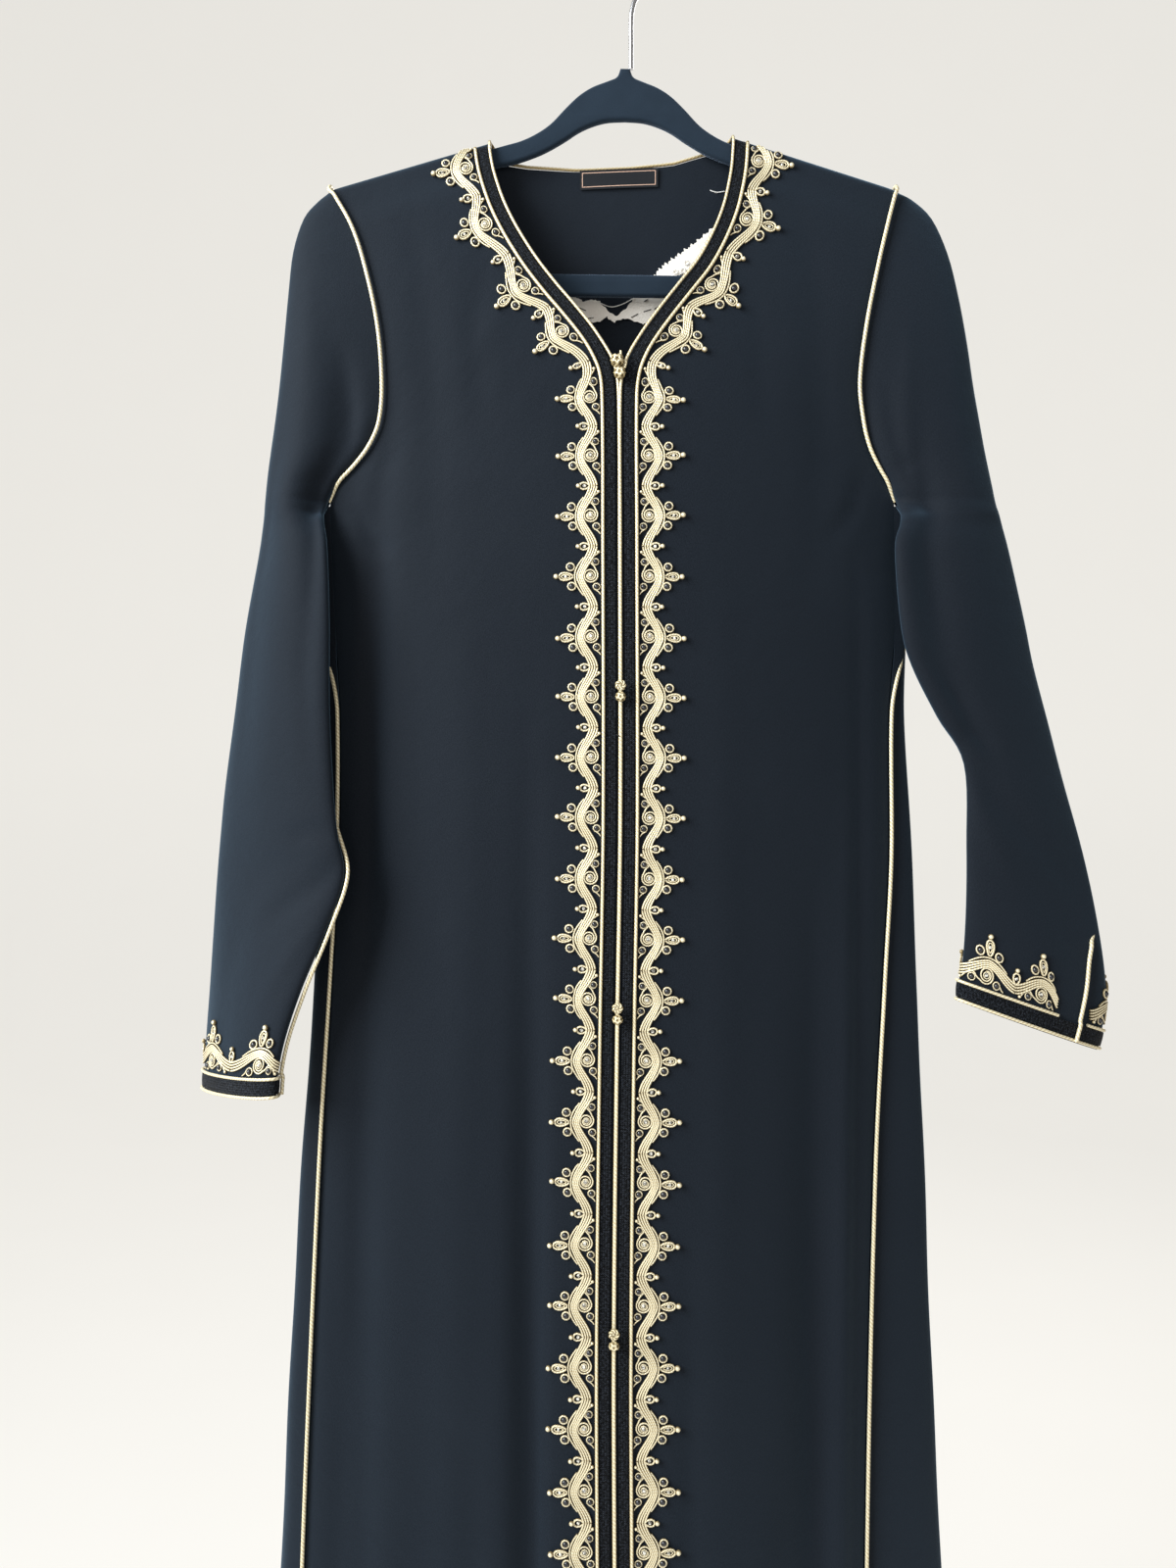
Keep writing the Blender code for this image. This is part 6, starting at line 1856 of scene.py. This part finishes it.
# X and height of the hook's wire from the hub up to where the loop begins, then the loop's first
# and last bearing.
HOOK_STEM = ((0, -78.6), (0, -62), (0, -47), (0.6, -39.5), (2.7, -32), (7, -26.4),
             (12.2, -22.4))
HOOK_LOOP = (-14, 196)
flock = Finish("flocked_plastic", (0.01, 0.014, 0.02), 0.95, sheen=0.45, specular=0.15)
flock.shader.inputs["Sheen Roughness"].default_value = 0.35
flock.shader.inputs["Sheen Tint"].default_value = (0.55, 0.7, 0.95, 1)
pile = flock.noise(flock.place(), 2400, detail=2)
nap = flock.noise(flock.place(), 70, detail=3)
LINT_PLACE, LINT_REACH = (0.0587, -0.003, -0.1255), 0.0006
lint = flock.start.make("ShaderNodeVectorMath", {0: flock.place(), 1: LINT_PLACE}, "Value",
                        operation="DISTANCE") < LINT_REACH
velvet = flock.blend(pile * 0.6 + nap * 0.4, (0.006, 0.0115, 0.019), (0.017, 0.029, 0.045))
flock.paint(flock.blend(lint, velvet, (0.85, 0.84, 0.8)), 0.88 + pile * 0.1,
            flock.relief(pile, 0.00025, 0.9, under=flock.relief(nap, 0.0006, 0.3)))


def hanger_outline(half, count):
    points = through(np.array(half), count)
    mirrored = points[::-1][points[::-1, 0] > 0] * (-1, 1)
    points = np.concatenate([points, mirrored])
    return np.stack([HANGER_CENTRE + points[:, 0], points[:, 1] - HANGER_TILT * points[:, 0]], axis=-1)


outline = bpy.data.curves.new("hanger_outline", "CURVE")
outline.dimensions, outline.fill_mode = "2D", "BOTH"
outline.extrude = (HANGER_THICK / 2 - HANGER_EDGE) * MM
outline.bevel_depth, outline.offset, outline.bevel_resolution = HANGER_EDGE * MM, -HANGER_EDGE * MM, 4
for half, count in ((HANGER_OUTSIDE, 90), (HANGER_INSIDE, 70)):
    places = hanger_outline(half, count)
    spline = outline.splines.new("POLY")
    spline.points.add(len(places) - 1)
    corners = np.column_stack([places * MM, np.zeros(len(places)), np.ones(len(places))])
    spline.points.foreach_set("co", corners.reshape(-1))
    spline.use_cyclic_u = True
flat_hanger = put("hanger_outline", outline)
graph = bpy.context.evaluated_depsgraph_get()
drawn = bpy.data.meshes.new_from_object(flat_hanger.evaluated_get(graph))
bpy.data.objects.remove(flat_hanger, do_unlink=True)
with edited(drawn) as mesh:
    upright = Matrix.Rotation(math.pi / 2, 3, "X")
    bmesh.ops.rotate(mesh, verts=mesh.verts, cent=(0, 0, 0), matrix=upright)
    bmesh.ops.remove_doubles(mesh, verts=mesh.verts, dist=0.005 * MM)
    bmesh.ops.recalc_face_normals(mesh, faces=mesh.faces)
drawn.materials.clear()
drawn.materials.append(flock.material)
drawn.shade_smooth()
drawn.set_sharp_from_angle(angle=math.radians(40))
hanger = put("flocked_hanger", drawn)
dress(hanger, "flocked_plastic", "hanger_body")
print("hanger body of", len(drawn.polygons), "faces")

# %% Hook
HOOK_WIRE, HOOK_INSIDE = 3.2, 14.5
steel = Finish("hook_steel", (0.62, 0.62, 0.64), 0.24, metallic=1)
lines = steel.grain(steel.place(), 2500, 2500, 90)
steel.paint(steel.blend(lines, (0.5, 0.5, 0.52), (0.7, 0.7, 0.72)), 0.18 + lines * 0.14)
bearing = np.radians(np.linspace(HOOK_LOOP[0], HOOK_LOOP[1], 49))
reach = HOOK_INSIDE + HOOK_WIRE / 2
loop = np.stack([reach * np.cos(bearing), 0 * bearing, reach * np.sin(bearing) - HOOK_INSIDE], axis=-1)
stem = np.array([(x, 0, height) for x, height in HOOK_STEM])
wire_path = np.concatenate([stem, loop])
hook = line_object("steel_hook", [wire_path])
cord_recipe.run(hook, steel, Radius=HOOK_WIRE / 2 * MM, Step=1.2 * MM, Sides=20)
add_core(hook, [wire_path[-1]], HOOK_WIRE / 2)
dress(hook, "hook_steel", "hook")
print("hook of", len(hook.data.polygons), "faces")

# %% [markdown]
# ## Studio
# A pale sweep of paper runs back over the floor and up in one curve, so that no line shows where
# floor and wall meet. A large soft light stands close on the left and the sky of the studio
# fills the rest, which leaves the right side of dark cloth darker, as window light does.

# %% Studio
scene = bpy.context.scene
scene.view_settings.view_transform = "Standard"
world = bpy.data.worlds.new("studio")
world.use_nodes = True
sky = world.node_tree.nodes["Background"]
sky.inputs["Color"].default_value = (0.9, 0.875, 0.83, 1)
sky.inputs["Strength"].default_value = 0.33
scene.world = world

FLOOR, SWEEP_START, SWEEP_REACH, SWEEP_SIDE, SWEEP_TOP = -1.95, 4.4, 1.6, 9, 6
turn = np.linspace(0, np.pi / 2, 25)
bend = [(SWEEP_START + SWEEP_REACH * math.sin(a), FLOOR + SWEEP_REACH * (1 - math.cos(a))) for a in turn]
profile = [(-9, FLOOR)] + bend + [(SWEEP_START + SWEEP_REACH, SWEEP_TOP)]
sweep = new_piece("paper_sweep", [(x, y, z) for y, z in profile for x in (-SWEEP_SIDE, SWEEP_SIDE)],
                  faces=[(2 * n, 2 * n + 1, 2 * n + 3, 2 * n + 2) for n in range(len(profile) - 1)])
sweep.data.shade_smooth()
paper = Finish("pale_paper", (0.3, 0.295, 0.285), 0.9, specular=0)
paper_tone = paper.noise(paper.place(), 3, detail=2)
paper.paint(paper.blend(paper_tone, (0.25, 0.245, 0.236), (0.268, 0.263, 0.254)))
paper.shader.inputs["Emission Color"].default_value = (0.93, 0.91, 0.86, 1)
paper.shader.inputs["Emission Strength"].default_value = 0.73
sweep.data.materials.append(paper.material)


def soft_light(name, place, size, watts, target, colour=(1, 0.985, 0.96)):
    data = bpy.data.lights.new(name, "AREA")
    data.shape = "RECTANGLE"
    data.size, data.size_y = size
    data.energy = watts
    data.color = colour
    light = put(name, data)
    light.location = place
    light.rotation_euler = (Vector(target) - Vector(place)).to_track_quat("-Z", "Y").to_euler()


soft_light("window", (-1.7, -1, 0.4), (1.2, 1.8), 118, (-0.15, 0, -0.4), (0.9, 0.96, 1))
soft_light("front", (0.3, -3.2, -0.1), (2, 1.6), 23, (0, 0, -0.3))
soft_light("behind", (1.1, 2.3, 0.9), (1.6, 1.6), 46, (0, 0, -0.6))
print("studio lit")
